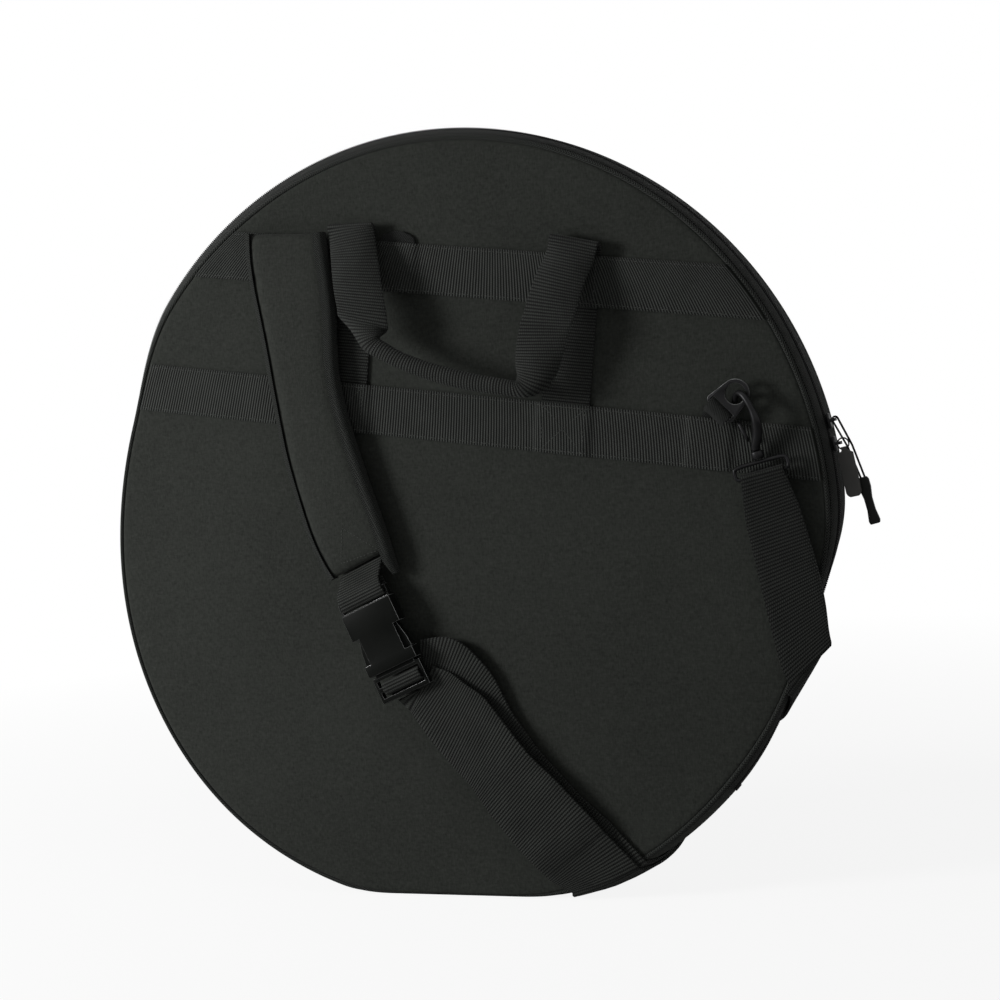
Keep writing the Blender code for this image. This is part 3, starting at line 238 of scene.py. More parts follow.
def webPiece(name, rows, thickness, samples=3, columns=8):
    # webbing: a refined sheet with a thickness and eased edges
    piece = gridPiece(name, refine(rows, samples, columns) if samples else rows)
    shape(piece, "SOLIDIFY", thickness=thickness * webEdge["core"], offset=0.0)
    bevel(piece, thickness * webEdge["bevel"], webEdge["segments"], webEdge["angle"])
    soften(piece)
    return piece


def spaced(start, end, steps):
    return [start + (end - start) * step / steps for step in range(steps + 1)]


def ringPiece(name, section, start, end, steps, closed=False):
    # section lists depth, outward, inset and share of the seam's own inset across the rim
    rows = []
    for angle in spaced(start, end, steps):
        drawn = seamInset(angle)
        rows.append([rimPoint(angle, y, out, inset + drawn * lean) for y, out, inset, lean in section])
    return gridPiece(name, rows, closed)


def dress(piece, finish, body, slotName, *stoodFor):
    if finish.material.name not in piece.data.materials:
        piece.data.materials.clear()
        piece.data.materials.append(finish.material)
    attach(piece, body)
    if stoodFor:
        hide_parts(*stoodFor)
    return piece


# Finishes: sums and products of shader values are written as plain expressions

class Wire:
    def __init__(self, graph, socket):
        self.graph = graph
        self.socket = socket

    def work(self, operation, *terms, **settings):
        return self.graph.node("ShaderNodeMath", {"operation": operation, **settings}, terms)

    def __add__(self, other):
        return self.work("ADD", self, other)

    def __mul__(self, other):
        return self.work("MULTIPLY", self, other)

    def __sub__(self, other):
        return self.work("SUBTRACT", self, other)

    def __rsub__(self, other):
        return self.work("SUBTRACT", other, self)

    def __pow__(self, other):
        return self.work("POWER", self, other)

    __radd__ = __add__
    __rmul__ = __mul__

    def wave(self, pitch, shift=0.0):  # from -1 to 1, once in a pitch
        return self.work("SINE", self * (2 * math.pi / pitch) + shift)

    def size(self):
        return self.work("ABSOLUTE", self)

    def larger(self, other):
        return self.work("MAXIMUM", self, other)

    def zigzag(self, width):  # rises and falls between 0 and this width
        return self.work("PINGPONG", self, width)

    def above(self, edge, softness):  # 0 under the edge, 1 over it
        return self.work("MULTIPLY", self - edge, 1 / softness, use_clamp=True)


class Graph:
    def __init__(self, tree):
        self.tree = tree

    def join(self, value, socket):
        if isinstance(value, Wire):
            self.tree.links.new(value.socket, socket)
        else:
            socket.default_value = value

    def node(self, kind, settings, values, output=0):
        made = self.tree.nodes.new(kind)
        for key, value in settings.items():
            setattr(made, key, value)
        pairs = values.items() if isinstance(values, dict) else enumerate(values)
        for key, value in pairs:
            self.join(value, made.inputs[key])
        return Wire(self, made.outputs[output])


class Finish(Graph):
    def __init__(self, name, colour, roughness, metallic=0.0, gloss=0.5, sheen=0.0, tint=1.0):
        self.material = bpy.data.materials.new(name)
        self.material.use_nodes = True
        super().__init__(self.material.node_tree)
        self.shader = self.tree.nodes["Principled BSDF"]
        self.colour = colour
        self.roughness = roughness
        self.bump = None
        self.shader.inputs["Metallic"].default_value = metallic
        self.shader.inputs["Specular IOR Level"].default_value = gloss
        self.shader.inputs["Sheen Weight"].default_value = sheen
        self.shader.inputs["Sheen Roughness"].default_value = 0.5
        self.shader.inputs["Specular Tint"].default_value = (*[tint] * 3, 1.0)

    def split(self, vector):
        made = self.node("ShaderNodeSeparateXYZ", {}, [vector])
        return [Wire(self, output) for output in made.socket.node.outputs]

    def objectPlace(self):
        return self.node("ShaderNodeTexCoord", {}, {}, "Object")

    def clothPlace(self):
        return self.split(self.node("ShaderNodeUVMap", {"uv_map": "cloth"}, {}))[0:2]

    def speck(self, scale, detail=2.0, stretch=None):  # noise, whose three scales stretch can set apart
        place = self.objectPlace()
        if stretch:
            place = self.node("ShaderNodeMapping", {}, {"Vector": place, "Scale": stretch})
        return self.node("ShaderNodeTexNoise", {}, {"Vector": place, "Scale": scale, "Detail": detail})

    def blend(self, share, first, second):
        return self.node("ShaderNodeMix", {"data_type": "RGBA"}, {0: share, 6: first, 7: second}, 2)

    def tone(self, share, low, high):  # the finish's own colour from low to high times its strength
        dark = (*[part * low for part in self.colour], 1.0)
        light = (*[part * high for part in self.colour], 1.0)
        return self.blend(share, dark, light)

    def raised(self, height, distance, strength=1.0):
        values = {"Height": height, "Distance": distance, "Strength": strength}
        if self.bump:
            values["Normal"] = self.bump
        self.bump = self.node("ShaderNodeBump", {}, values)

    def done(self, colour, roughness=None):
        self.join(colour, self.shader.inputs["Base Color"])
        self.join(self.roughness if roughness is None else roughness, self.shader.inputs["Roughness"])
        if self.bump:
            self.join(self.bump, self.shader.inputs["Normal"])
        return self


fabric = {
    "cloth": (0.0248, 0.0268, 0.0237), "webbing": (0.0236, 0.0256, 0.0232), "tape": (0.0195, 0.0210, 0.0190),
    "handle": (0.0184, 0.0199, 0.0180), "strap": (0.0189, 0.0205, 0.0184), "hookWeb": (0.0098, 0.0107, 0.0095),
    "tab": (0.0150, 0.0160, 0.0150), "pad": (0.0256, 0.0275, 0.0244), "lining": (0.020, 0.020, 0.020),
    "foam": (0.10, 0.10, 0.10), "thread": (0.046, 0.048, 0.045), "buckle": (0.0050, 0.0055, 0.0049),
    "coil": (0.008, 0.008, 0.008), "pull": (0.010, 0.0105, 0.010), "tag": (0.070, 0.069, 0.066),
    # the two corner colours after the plating on the next line are painted highlights on eased corners
    "plating": (0.012, 0.012, 0.0125), "buckleHighlight": (0.16, 0.165, 0.162), "plateHighlight": (0.15, 0.155, 0.152),
    "weavePitch": 0.0009, "floatPitch": 0.0017, "fuzz": 900, "wander": 60, "sheen": 0.03,
}


def wovenCloth(name, colour, mapped=True, pitch=fabric["weavePitch"]):
    # plain weave with thick and thin upright threads, and faint cloudy wear
    finish = Finish(name, colour, 0.90, gloss=0.05, sheen=fabric["sheen"])
    if mapped:
        u, v = finish.clothPlace()
    else:
        u, _, v = finish.split(finish.objectPlace())
    weave = u.wave(pitch) * v.wave(pitch)
    threads = finish.speck(1.0, 3.0, (900, 900, 260))
    weft = finish.speck(1.0, 2.0, (220, 220, 760))
    grain = finish.speck(430, 3.0)
    cloud = finish.speck(9, 3.0)
    finish.raised(cloud, 0.0016, 0.35)
    finish.raised(weave * 0.3 + threads + weft * 0.7, 0.0004, 0.6)
    share = weave * 0.10 + threads * 0.9 + weft * 0.6 + grain * 0.8 + cloud * 0.5 - 0.90
    return finish.done(finish.tone(share.above(0.0, 1.0), 0.58, 1.42))


def ribbedWeb(name, colour, pitch, floatShare=0.20, contrast=1.15):
    # ribs across the webbing, each a row of short floats, every other row half a float along, with painted shade
    # in the grooves
    finish = Finish(name, colour, 0.74, gloss=0.10, sheen=fabric["sheen"])
    u, v = finish.clothPlace()
    rib = u.wave(2 * pitch)
    body = rib.size() ** 1.1
    floats = v.wave(fabric["floatPitch"], rib.above(0.0, 0.05) * math.pi)
    wander = finish.speck(fabric["wander"])
    fuzz = finish.speck(fabric["fuzz"])
    finish.raised(body + floats * 0.16 + fuzz * 0.25, 0.0007, 0.9)
    middle = 0.4 - 0.64 * contrast  # keeps the mean tone the same at any contrast
    # the colour follows the height of the ribs and floats: painted shade in the grooves, lighter on the crests
    share = body * contrast + floats * floatShare + (fuzz - 0.5) * 0.6 + (wander - 0.5) * 0.5 + middle
    return finish.done(finish.tone(share.above(0.0, 1.0), 0.12, 1.70))


def twillWeb(name, colour, pitch):
    # small offset floats, in steep diagonal rows
    finish = Finish(name, colour, 0.76, gloss=0.08, sheen=fabric["sheen"])
    u, v = finish.clothPlace()
    floats = u.wave(pitch) * (v + u * 0.5).wave(pitch * 1.1)
    fuzz = finish.speck(fabric["fuzz"])
    wander = finish.speck(fabric["wander"])
    finish.raised(floats * 0.5 + fuzz * 0.4, 0.0006, 0.9)
    share = floats * 0.45 + (fuzz - 0.5) * 0.7 + (wander - 0.5) * 0.5 + 0.5
    return finish.done(finish.tone(share.above(0.0, 1.0), 0.30, 1.45))


def herringbone(name, colour, pitch, band):
    # slanting floats that change direction once in a band, counted from well outside the tape
    finish = Finish(name, colour, 0.78, gloss=0.08, sheen=fabric["sheen"])
    u, v = finish.clothPlace()
    floats = (u + (v + band * 40).zigzag(band / 2) * 1.3).wave(pitch)
    fuzz = finish.speck(fabric["fuzz"])
    finish.raised(floats * 0.5 + fuzz * 0.4, 0.0006, 1.0)
    share = floats * 0.6 + (fuzz - 0.5) * 0.7 + 0.42
    return finish.done(finish.tone(share.above(0.0, 1.0), 0.20, 1.8))


def mouldedPlastic(name, colour, roughness, gloss=0.07):
    # fine sparked texture, rubbed smoother on broad soft patches
    finish = Finish(name, colour, roughness, gloss=gloss)
    lighterShare = finish.speck(55, 3.0)
    finish.raised(finish.speck(1600), 0.0002, 0.2)
    return finish.done(finish.tone(lighterShare, 0.75, 1.3), lighterShare * 0.2 + (roughness - 0.10))


def platedMetal(name, colour):
    # black plating with faint ripples and hazy handling marks
    finish = Finish(name, colour, 0.35, metallic=0.6, gloss=0.3, tint=0.3)
    haze = finish.speck(90, 4.0)
    finish.raised(finish.speck(180), 0.0003, 0.2)
    return finish.done(finish.tone(haze, 0.8, 1.5), haze * 0.22 + 0.26)


def highlightedEdge(name, colour, across, up):
    # a painted highlight along the glossy eased corners, brightest on the corners that face across and up by these
    # shares, broken up by noise
    finish = Finish(name, colour, 0.30, gloss=0.6)
    breakup = finish.speck(240, 3.0)
    x, _, z = finish.split(finish.node("ShaderNodeNewGeometry", {}, {}, "Normal"))
    # painted highlight: lighter where the corner's normal faces across and up
    lighterShare = (x * across + z * up).above(0.05, 0.5)
    return finish.done(finish.tone(lighterShare * breakup.above(0.2, 0.5), 0.10, 1.7), breakup * 0.3 + 0.15)


def spunThread(name, colour):
    finish = Finish(name, colour, 0.6, gloss=0.15, sheen=0.04)
    twist = finish.speck(1800, 1.0)
    finish.raised(twist, 0.0002, 0.6)
    return finish.done(finish.tone(twist, 0.7, 1.3))


clothFinish = wovenCloth("panelCloth", fabric["cloth"])
gussetFinish = wovenCloth("gussetCloth", fabric["cloth"])
padFinish = wovenCloth("padCloth", fabric["pad"], mapped=False)
liningFinish = wovenCloth("liningCloth", fabric["lining"], pitch=0.0006)
foamFinish = wovenCloth("foamBlock", fabric["foam"], pitch=0.0021)
# the bands' higher contrast deepens their painted groove shade
bandFinish = ribbedWeb("bandWebbing", fabric["webbing"], 0.0022, contrast=1.9)
handleFinish = ribbedWeb("handleWebbing", fabric["handle"], 0.00235)
strapFinish = ribbedWeb("strapWebbing", fabric["strap"], 0.0023)
hookWebFinish = ribbedWeb("hookWebbing", fabric["hookWeb"], 0.0025, floatShare=0.5)
tapeFinish = herringbone("zipTape", fabric["tape"], 0.0020, 0.0059)
bindingFinish = herringbone("edgeBinding", fabric["webbing"], 0.0018, 0.0050)
pipingFinish = herringbone("weltPiping", fabric["webbing"], 0.0022, 0.0115)
threadFinish = spunThread("sewingThread", fabric["thread"])
# painted highlights on the eased corners of the buckle and the plate
buckleHighlight = highlightedEdge("buckleCornerHighlight", fabric["buckleHighlight"], 0.85, 0.52)
plateHighlight = highlightedEdge("plateCornerHighlight", fabric["plateHighlight"], -0.3, 0.95)
tabFinish = twillWeb("tabWebbing", fabric["tab"], 0.0014)
buckleFinish = mouldedPlastic("bucklePlastic", fabric["buckle"], 0.48, 0.03)
coilFinish = mouldedPlastic("coilPlastic", fabric["coil"], 0.45)
pullFinish = mouldedPlastic("pullRubber", fabric["pull"], 0.55)
tagFinish = mouldedPlastic("tagRubber", fabric["tag"], 0.6)
metalFinish = platedMetal("blackPlating", fabric["plating"])
print("finishes made")


# Padded sides: cover, foam, lining and piping

paddedSide = {
    "cover": 0.0012, "coverEdge": 0.0014, "coverShare": 0.5, "foam": 0.006, "foamShare": 0.9,
    "lining": 0.001, "inset": 0.0058, "steps": 288, "wave": 0.0004, "liningWave": 0.0006, "waveScale": 16,
    # how far in from the edge each ring of places lies, and how far it drops there
    "roll": [(0.0, 0.0016), (0.0006, 0.0009), (0.0015, 0.0005), (0.003, 0.00025), (0.006, 0.0001), (0.012, 0.0)],
    "foamRoll": [(0.0, 0.003), (0.0008, 0.0012), (0.0022, 0.0003), (0.004, 0.0)],
    "liningRoll": [(0.0, 0.0008), (0.002, 0.0003), (0.006, 0.0)],
    "rings": [0.022, 0.035, 0.055, 0.08, 0.105, 0.13, 0.155, 0.18, 0.205, 0.23, 0.255, 0.28],
    "foamRings": [0.03, 0.15], "pipingCorners": 12, "pipingSteps": 480,
}


def roundRows(face, facing, inset, roll, rings, wave):
    # rings of places from the edge to the middle of a round panel
    lean = 1.0 if face < 0 else 0.0
    scale = paddedSide["waveScale"]
    rows = []
    for depthIn, drop in [*roll, *[(ring, 0.0) for ring in rings], (None, 0.0)]:
        row = []
        for angle in spaced(0, 2 * math.pi, paddedSide["steps"]):
            reach = 0.0
            if depthIn is not None:
                reach = rimRadius(angle, 0.0, inset + depthIn + seamInset(angle) * lean) - pinch(angle, face)
            x, z = reach * math.cos(angle), reach * math.sin(angle)
            sway = wave * (0.5 + 0.5 * noise.noise((x * scale, facing * 3.0, z * scale)))
            row.append((x, face - facing * (drop + sway), z))
        rows.append(row)
    return rows


def roundSheet(name, rows, facing):
    sheet = gridPiece(name, rows, True, True)
    turnFaces(sheet, lambda face: Vector((0, facing, 0)))
    return sheet


def makePaddedSide(side, facing, body):
    size = paddedSide
    face = facing * bag["halfDepth"]
    rows = roundRows(face, facing, size["coverEdge"], size["roll"], size["rings"], size["wave"])
    cover = roundSheet(side + "_cover", rows, facing)
    shape(cover, "SOLIDIFY", thickness=size["cover"] * size["coverShare"], offset=-1.0)
    soften(cover, 60)
    dress(cover, clothFinish, body, "cloth", side + "_panel")

    foamFace = face - facing * (size["cover"] + gap * 2 + size["wave"])
    rows = roundRows(foamFace, facing, size["inset"], size["foamRoll"], size["foamRings"], 0.0)
    foam = roundSheet(side + "_foam_block", rows, facing)
    shape(foam, "SOLIDIFY", thickness=size["foam"] * size["foamShare"], offset=-1.0)
    dress(foam, foamFinish, body, "foam", side + "_foam")

    liningFace = face - facing * (size["cover"] + size["foam"] + 2 * gap + size["lining"])
    rows = roundRows(liningFace, -facing, size["inset"], size["liningRoll"], size["rings"], size["liningWave"])
    lining = roundSheet(side + "_lining_sheet", rows, -facing)
    dress(lining, liningFinish, body, "lining", side + "_lining")
    soften(lining, 60)

    section = []
    cord = bag["piping"]
    for corner in spaced(0, 2 * math.pi, size["pipingCorners"]):
        y = face - facing * cord * (1 - math.cos(corner))
        section.append((y, cord * (1 + math.sin(corner)), cord, 1.0 if facing < 0 else 0.0))
    piping = ringPiece(side + "_welt", section, 0, 2 * math.pi, size["pipingSteps"], True)
    soften(piping, 80)
    dress(piping, pipingFinish, body, "cloth", side + "_piping")


makePaddedSide("back", -1, "back_half")
makePaddedSide("front", 1, "front_half")
print("padded sides made")


# Rim: zip tapes, coil and gussets

rim = {
    "tapeWidth": 0.0118, "tape": 0.001, "coilWidth": 0.0021, "coilHeight": 0.0024, "coilStand": 0.0007,
    "gusset": 0.004, "toothPitch": 0.0016, "toothShare": 0.4, "coilInset": 0.022, "tuck": 0.0005, "tuckSpans": 1.5,
    "steps": 540, "footSteps": 180,
    # across half of the coil: place between its edges, and how far down its height
    "coilProfile": [(-1, 1.0), (-0.95, 0.25), (-0.5, 0.0), (0.5, 0.0), (0.95, 0.25), (1, 1.0)],
}
zipStart = footAngle + math.radians(bag["hingeHalf"]) + gap / radius
zipEnd = footAngle - math.radians(bag["hingeHalf"]) + 2 * math.pi - gap / radius
tapeBackStart = panelFace + 2 * bag["piping"] + gap
tapeBackEnd = tapeBackStart + rim["tapeWidth"]
coilBackStart = tapeBackEnd + gap
coilBackEnd = coilBackStart + rim["coilWidth"]
coilFrontStart = coilBackEnd + gap
coilFrontEnd = coilFrontStart + rim["coilWidth"]
tapeFrontStart = coilFrontEnd + gap
tapeFrontEnd = tapeFrontStart + rim["tapeWidth"]
gussetStart = tapeFrontEnd + gap
gussetEnd = bag["halfDepth"] - 2 * bag["piping"] - gap
coilMiddle = (coilBackEnd + coilFrontStart) / 2


def wallSection(low, high, spans):
    # across the rim from low to high, its two edges tucked in towards their seams
    section = []
    flare = coilMiddle - tapeBackStart
    for share in spaced(0, 1, spans):
        y = low + (high - low) * share
        dip = rim["tuck"] * max(0.0, 1 - min(share, 1 - share) * spans / rim["tuckSpans"])
        lean = max(0.0, (coilMiddle - y) / flare) ** 1.5
        section.append((y, crown(y) - dip, 0.0, lean))
    return section


def turnFromMiddle(piece):
    middle = stand.to_translation()
    turnFaces(piece, lambda face: face.center - middle)


def wallPiece(name, low, high, spans, thickness, start, end, steps):
    piece = ringPiece(name, wallSection(low, high, spans), start, end, steps)
    turnFromMiddle(piece)
    shape(piece, "SOLIDIFY", thickness=thickness, offset=-1.0)
    soften(piece, 50)
    return piece


def coilPiece(name, low, high, lag):
    # half of the coil: its loops rise and fall along the tape
    tall = rim["coilHeight"]
    rise = crown(coilMiddle) + rim["coilStand"]
    start = zipStart + rim["coilInset"]
    end = zipEnd - rim["coilInset"]
    count = int((end - start) * radius / rim["toothPitch"]) * 4
    rows = []
    for step, angle in enumerate(spaced(start, end, count)):
        sunk = rim["toothShare"] * tall * (1, 0, 0, 1)[(step + lag) % 4]
        row = []
        for side, down in rim["coilProfile"]:
            out = rise - down * tall - (sunk if abs(side) < 1 else 0.0)
            row.append(rimPoint(angle, (low + high + side * (high - low)) / 2, out))
        rows.append(row)
    piece = gridPiece(name, rows)
    turnFromMiddle(piece)
    soften(piece, 50)
    return piece


def makeRim():
    walls = [
        ("zip_tape_near", "zip_tape_back", tapeBackStart, tapeBackEnd, 8, "tape", tapeFinish, "back_half"),
        ("zip_tape_far", "zip_tape_front", tapeFrontStart, tapeFrontEnd, 8, "tape", tapeFinish, "front_half"),
        ("front_wall", "front_gusset", gussetStart, gussetEnd, 6, "gusset", gussetFinish, "front_half"),
    ]
    for name, node, low, high, spans, kind, finish, body in walls:
        wall = wallPiece(name, low, high, spans, rim[kind], zipStart, zipEnd, rim["steps"])
        dress(wall, finish, body, "tape" if kind == "tape" else "cloth", node)
    footStart = zipEnd - 2 * math.pi
    foot = wallPiece(
        "hinge_wall", tapeBackStart, gussetEnd, 14, rim["gusset"], footStart, zipStart, rim["footSteps"]
    )
    dress(foot, gussetFinish, "back_half", "cloth", "hinge_gusset")
    near = coilPiece("coil_near", coilBackStart, coilBackEnd, 0)
    dress(near, coilFinish, "back_half", "coil", "zip_coil_back")
    far = coilPiece("coil_far", coilFrontStart, coilFrontEnd, 2)
    dress(far, coilFinish, "front_half", "coil", "zip_coil_front")


makeRim()
print("rim made")


# Webbing sewn to the panel

sewn = {
    "thickness": 0.0016, "width": 0.038, "upper": 0.1952, "lower": 0.0834, "ramp": 0.004, "offset": 0.0917,
    "stripFoot": 0.0655, "tabWidth": 0.029, "tabGap": 0.004, "tabHeight": 0.044, "tabRise": 0.0085,
    "rimInset": 0.0045, "tuck": 0.0004, "tuckShare": 60, "steps": 220, "plateTab": (0.6376, 0.7370),
}
# rise and dive are shares of the thread's own radius
thread = {
    "stitch": 0.0030, "boxStitch": 0.0032, "thick": 0.00028, "rise": 0.5, "dive": -2.2,
    "edge": 0.0022, "boxEdge": 0.0025, "steps": 280,
}
webLayer = sewn["thickness"] + gap
sewnDepth = panelFace - gap - sewn["thickness"] / 2
tabMiddle = -sewn["offset"] + sewn["width"] / 2 + sewn["tabGap"] + sewn["tabWidth"] / 2


def rimReach(height, side):
    angle = math.atan2(height, side * radius)
    reach = rimRadius(angle, bag["piping"], sewn["rimInset"] + seamInset(angle))
    return side * math.sqrt(reach ** 2 - height ** 2)


def span(middle, width):
    return (middle - width / 2 - gap, middle + width / 2 + gap)


def bandLift(x, raised):
    # how many layers the band is lifted by, over what it is sewn across
    lift = 0.0
    for start, end in raised:
        out = min(max(start - x, x - end, 0.0) / sewn["ramp"], 1.0)
        lift = max(lift, 1 - out ** 2 * (3 - 2 * out))
    return lift


def bandLine(z, steps, raised, base):
    # places along a band at this height, from rim to rim
    return [
        (x, base - bandLift(x, raised) * webLayer, z)
        for x in spaced(rimReach(z, -1), rimReach(z, 1), steps)
    ]


def makeBand(name, height, raised, node):
    half = sewn["width"] / 2
    lines = [bandLine(z, sewn["steps"], raised, sewnDepth) for z in spaced(height - half, height + half, 8)]
    rows = []
    for share, row in zip(spaced(0, 1, sewn["steps"]), zip(*lines)):
        tuck = sewn["tuck"] * max(0.0, 1 - min(share, 1 - share) * sewn["tuckShare"])
        rows.append([(x, y + tuck, z) for x, y, z in row])
    piece = webPiece(name, rows, sewn["thickness"], 0)
    dress(piece, bandFinish, "back_half", "webbing", node)


def makeAnchorTab():
    top = sewn["upper"] + sewn["width"] / 2 + sewn["tabRise"]
    half = sewn["tabWidth"] / 2
    rows = []
    for share in spaced(0, 1, 16):
        z = top - sewn["tabHeight"] * (1 - share)
        rounding = max(0.0, (z - (top - half * 0.5)) / (half * 0.5))
        width = half * math.sqrt(1 - min(rounding, 0.97) ** 2)
        rows.append([(tabMiddle + width * side, sewnDepth, z) for side in spaced(-1, 1, 6)])
    piece = webPiece("anchor_end", rows, sewn["thickness"], 0)
    dress(piece, tabFinish, "back_half", "webbing", "strap_anchor_tab")


def seam(name, lines, body="back_half", stitch=thread["stitch"], thick=thread["thick"]):
    # thread along lines of places on the surface, which dives into the cloth between stitches
    pieces = []
    turns = spaced(0, 2 * math.pi, 5)
    for line in lines:
        places = [Vector(place) for place in line]
        lengths = [(end - start).length for start, end in zip(places, places[1:])]
        count = max(2, round(sum(lengths) / stitch)) * 4
        rows = []
        for step in range(count + 1):
            reach = sum(lengths) * step / count
            index = 0
            while index < len(lengths) - 1 and reach > lengths[index]:
                reach -= lengths[index]
                index += 1
            ahead = (places[index + 1] - places[index]).normalized()
            side = ahead.cross(towardViewer).normalized()
            lift = thick * thread["rise" if step % 4 < 2 else "dive"]
            centre = places[index] + ahead * reach + towardViewer * lift
            rows.append([
                centre + (towardViewer * math.cos(turn) + side * math.sin(turn)) * thick for turn in turns
            ])
        pieces.append(gridPiece(name, rows, True))
    pickOnly(*pieces)
    bpy.ops.object.join()
    piece = bpy.context.object
    piece.name = name
    soften(piece, 80)
    dress(piece, threadFinish, body, "webbing")


def onSurface(piece, points):
    # the places on a piece's viewer side that lie over these points of the panel
    places = []
    for x, z in points:
        start = stand @ Vector((x, -radius, z))
        found, place, _, _ = piece.ray_cast(start, -towardViewer)
        if found:
            places.append(stand.inverted() @ place)
    return places


def evenly(first, last, count):
    return list(zip(*[spaced(start, end, count) for start, end in zip(first, last)]))


def boxSeam(x, z, half, y):
    # a square of stitches with a cross through it
    left, right, low, high = x - half, x + half, z - half, z + half
    return [
        [(left, y, low), (right, y, low), (right, y, high), (left, y, high), (left, y, low)],
        [(left, y, low), (right, y, high)], [(left, y, high), (right, y, low)],
    ]


def bandSeams():
    top = sewnDepth - sewn["thickness"] / 2
    half = sewn["width"] / 2
    edges, boxes = [], []
    for middle, raised in ((sewn["upper"], upperRaised), (sewn["lower"], lowerRaised)):
        for side in (-1, 1):
            edges.append(bandLine(middle + side * (half - thread["edge"]), thread["steps"], raised, top))
            boxes += boxSeam(side * sewn["offset"], middle, half - thread["boxEdge"], top - webLayer)
    seam("band_edge_stitches", edges)
    seam("strip_box_stitches", boxes, stitch=thread["boxStitch"])


leftStrip, rightStrip = [span(side * sewn["offset"], sewn["width"]) for side in (-1, 1)]
upperRaised = [(leftStrip[0], span(tabMiddle, sewn["tabWidth"])[1]), rightStrip]
lowerRaised = [leftStrip, rightStrip, tuple(share * radius for share in sewn["plateTab"])]
makeBand("upper_webbing_band", sewn["upper"], upperRaised, "upper_band")
makeBand("lower_webbing_band", sewn["lower"], lowerRaised, "lower_band")
makeAnchorTab()
bandSeams()
print("bands made")


# Carrying handle: one length of webbing from foot to foot, rolled into a grip in its middle

handle = {
    "crestOut": 0.0084, "crestHalf": 0.0017, "crest": 0.2235, "slant": 0.0035, "outerSlant": 0.3,
    "ramp": 0.3, "flatten": 0.66, "front": 0.0042, "frontFold": 2.5, "flatShare": 0.995, "leastFold": 0.03,
    "footRows": 12, "stripHalf": 0.019, "leftHalf": 0.0213, "gripHalf": 0.0200, "rightHalf": 0.0197,
    "gripOut": 0.0295, "tackStitch": 0.0016, "tackThick": 0.0004,
    "tacks": [
        ((-0.0505, 0.1385), (-0.0560, 0.1290)), ((-0.0490, 0.1378), (-0.0545, 0.1283)),
        ((0.0575, 0.1165), (0.0640, 0.1165)), ((0.0600, 0.1150), (0.0612, 0.1105)),
    ],
    # places of the webbing's two edges, first across and then up, and its height off the panel
    "left": [
        (-0.1070, 0.2098, -0.0700, 0.2190, 0.0150), (-0.1019, 0.1964, -0.0625, 0.1989, 0.0210),
        (-0.0961, 0.1775, -0.0548, 0.1776, 0.0255), (-0.0905, 0.1614, -0.0488, 0.1592, 0.0280),
        (-0.0881, 0.1543, -0.0473, 0.1500, 0.0285), (-0.0796, 0.1457, -0.0494, 0.1470, 0.0290),
        (-0.0695, 0.1365, -0.0522, 0.1432, 0.0295), (-0.0623, 0.1302, -0.0525, 0.1403, 0.0295),
    ],
    # the grip's two edges lie at one height
    "grip": [
        (-0.0538, 0.1270, -0.0478, 0.1378), (-0.0374, 0.1208, -0.0323, 0.1311), (-0.0163, 0.1150, -0.0146, 0.1265),
        (0.0045, 0.1108, 0.0053, 0.1229), (0.0250, 0.1084, 0.0250, 0.1201), (0.0430, 0.1074, 0.0430, 0.1186),
        (0.0570, 0.1072, 0.0565, 0.1176),
    ],
    "right": [
        (0.0690, 0.1070, 0.0609, 0.1172, 0.0295), (0.0775, 0.1098, 0.0612, 0.1190, 0.0290),
        (0.0855, 0.1180, 0.0600, 0.1228, 0.0290), (0.0907, 0.1276, 0.0584, 0.1284, 0.0285),
        (0.0950, 0.1410, 0.0580, 0.1380, 0.0280), (0.0980, 0.1543, 0.0592, 0.1512, 0.0275),
        (0.1006, 0.1660, 0.0614, 0.1660, 0.0260), (0.1026, 0.1808, 0.0644, 0.1845, 0.0235),
        (0.1048, 0.1940, 0.0676, 0.2000, 0.0200), (0.1076, 0.2073, 0.0712, 0.2120, 0.0150),
    ],
}


def handleEnd(side):
    # rows of the sewn strip from its foot to the fold: both edges, the depth and half the width
    crest, fold = panelFace - handle["crestOut"], handle["crestHalf"]
    bandTop = sewn["upper"] + sewn["width"] / 2
    places = [(sewnDepth, z) for z in spaced(sewn["stripFoot"], bandTop - sewn["ramp"], handle["footRows"])]
    sewnRows = len(places)
    places += [
        (sewnDepth, bandTop + sewn["thickness"]),
        (sewnDepth + (crest - sewnDepth) * handle["ramp"], handle["crest"] - sewn["thickness"]),
        (crest + fold, handle["crest"]), (crest - fold, handle["crest"]),
    ]
    half = handle["stripHalf"]
    outer, inner = side * (sewn["offset"] + half), side * (sewn["offset"] - half)
    rows = []
    for index, (y, z) in enumerate(places):
        slant = handle["slant"] * max(0, index - sewnRows) / 3
        rows.append((outer, z - slant * handle["outerSlant"], inner, z + slant, y, half))
    return rows


def webStations(places, half):
    return [(leftX, leftZ, rightX, rightZ, panelFace - out, half) for leftX, leftZ, rightX, rightZ, out in places]


def foldAngle(share):
    # the half angle of an arc whose width is this share of its length
    low, high = 0.0, math.pi / 2
    if share < 2 / math.pi:
        return min(1 / max(share, 0.3), 3.0)
    for _ in range(30):
        middle = (low + high) / 2
        if math.sin(middle) / middle > share:
            low = middle
        else:
            high = middle
    return low


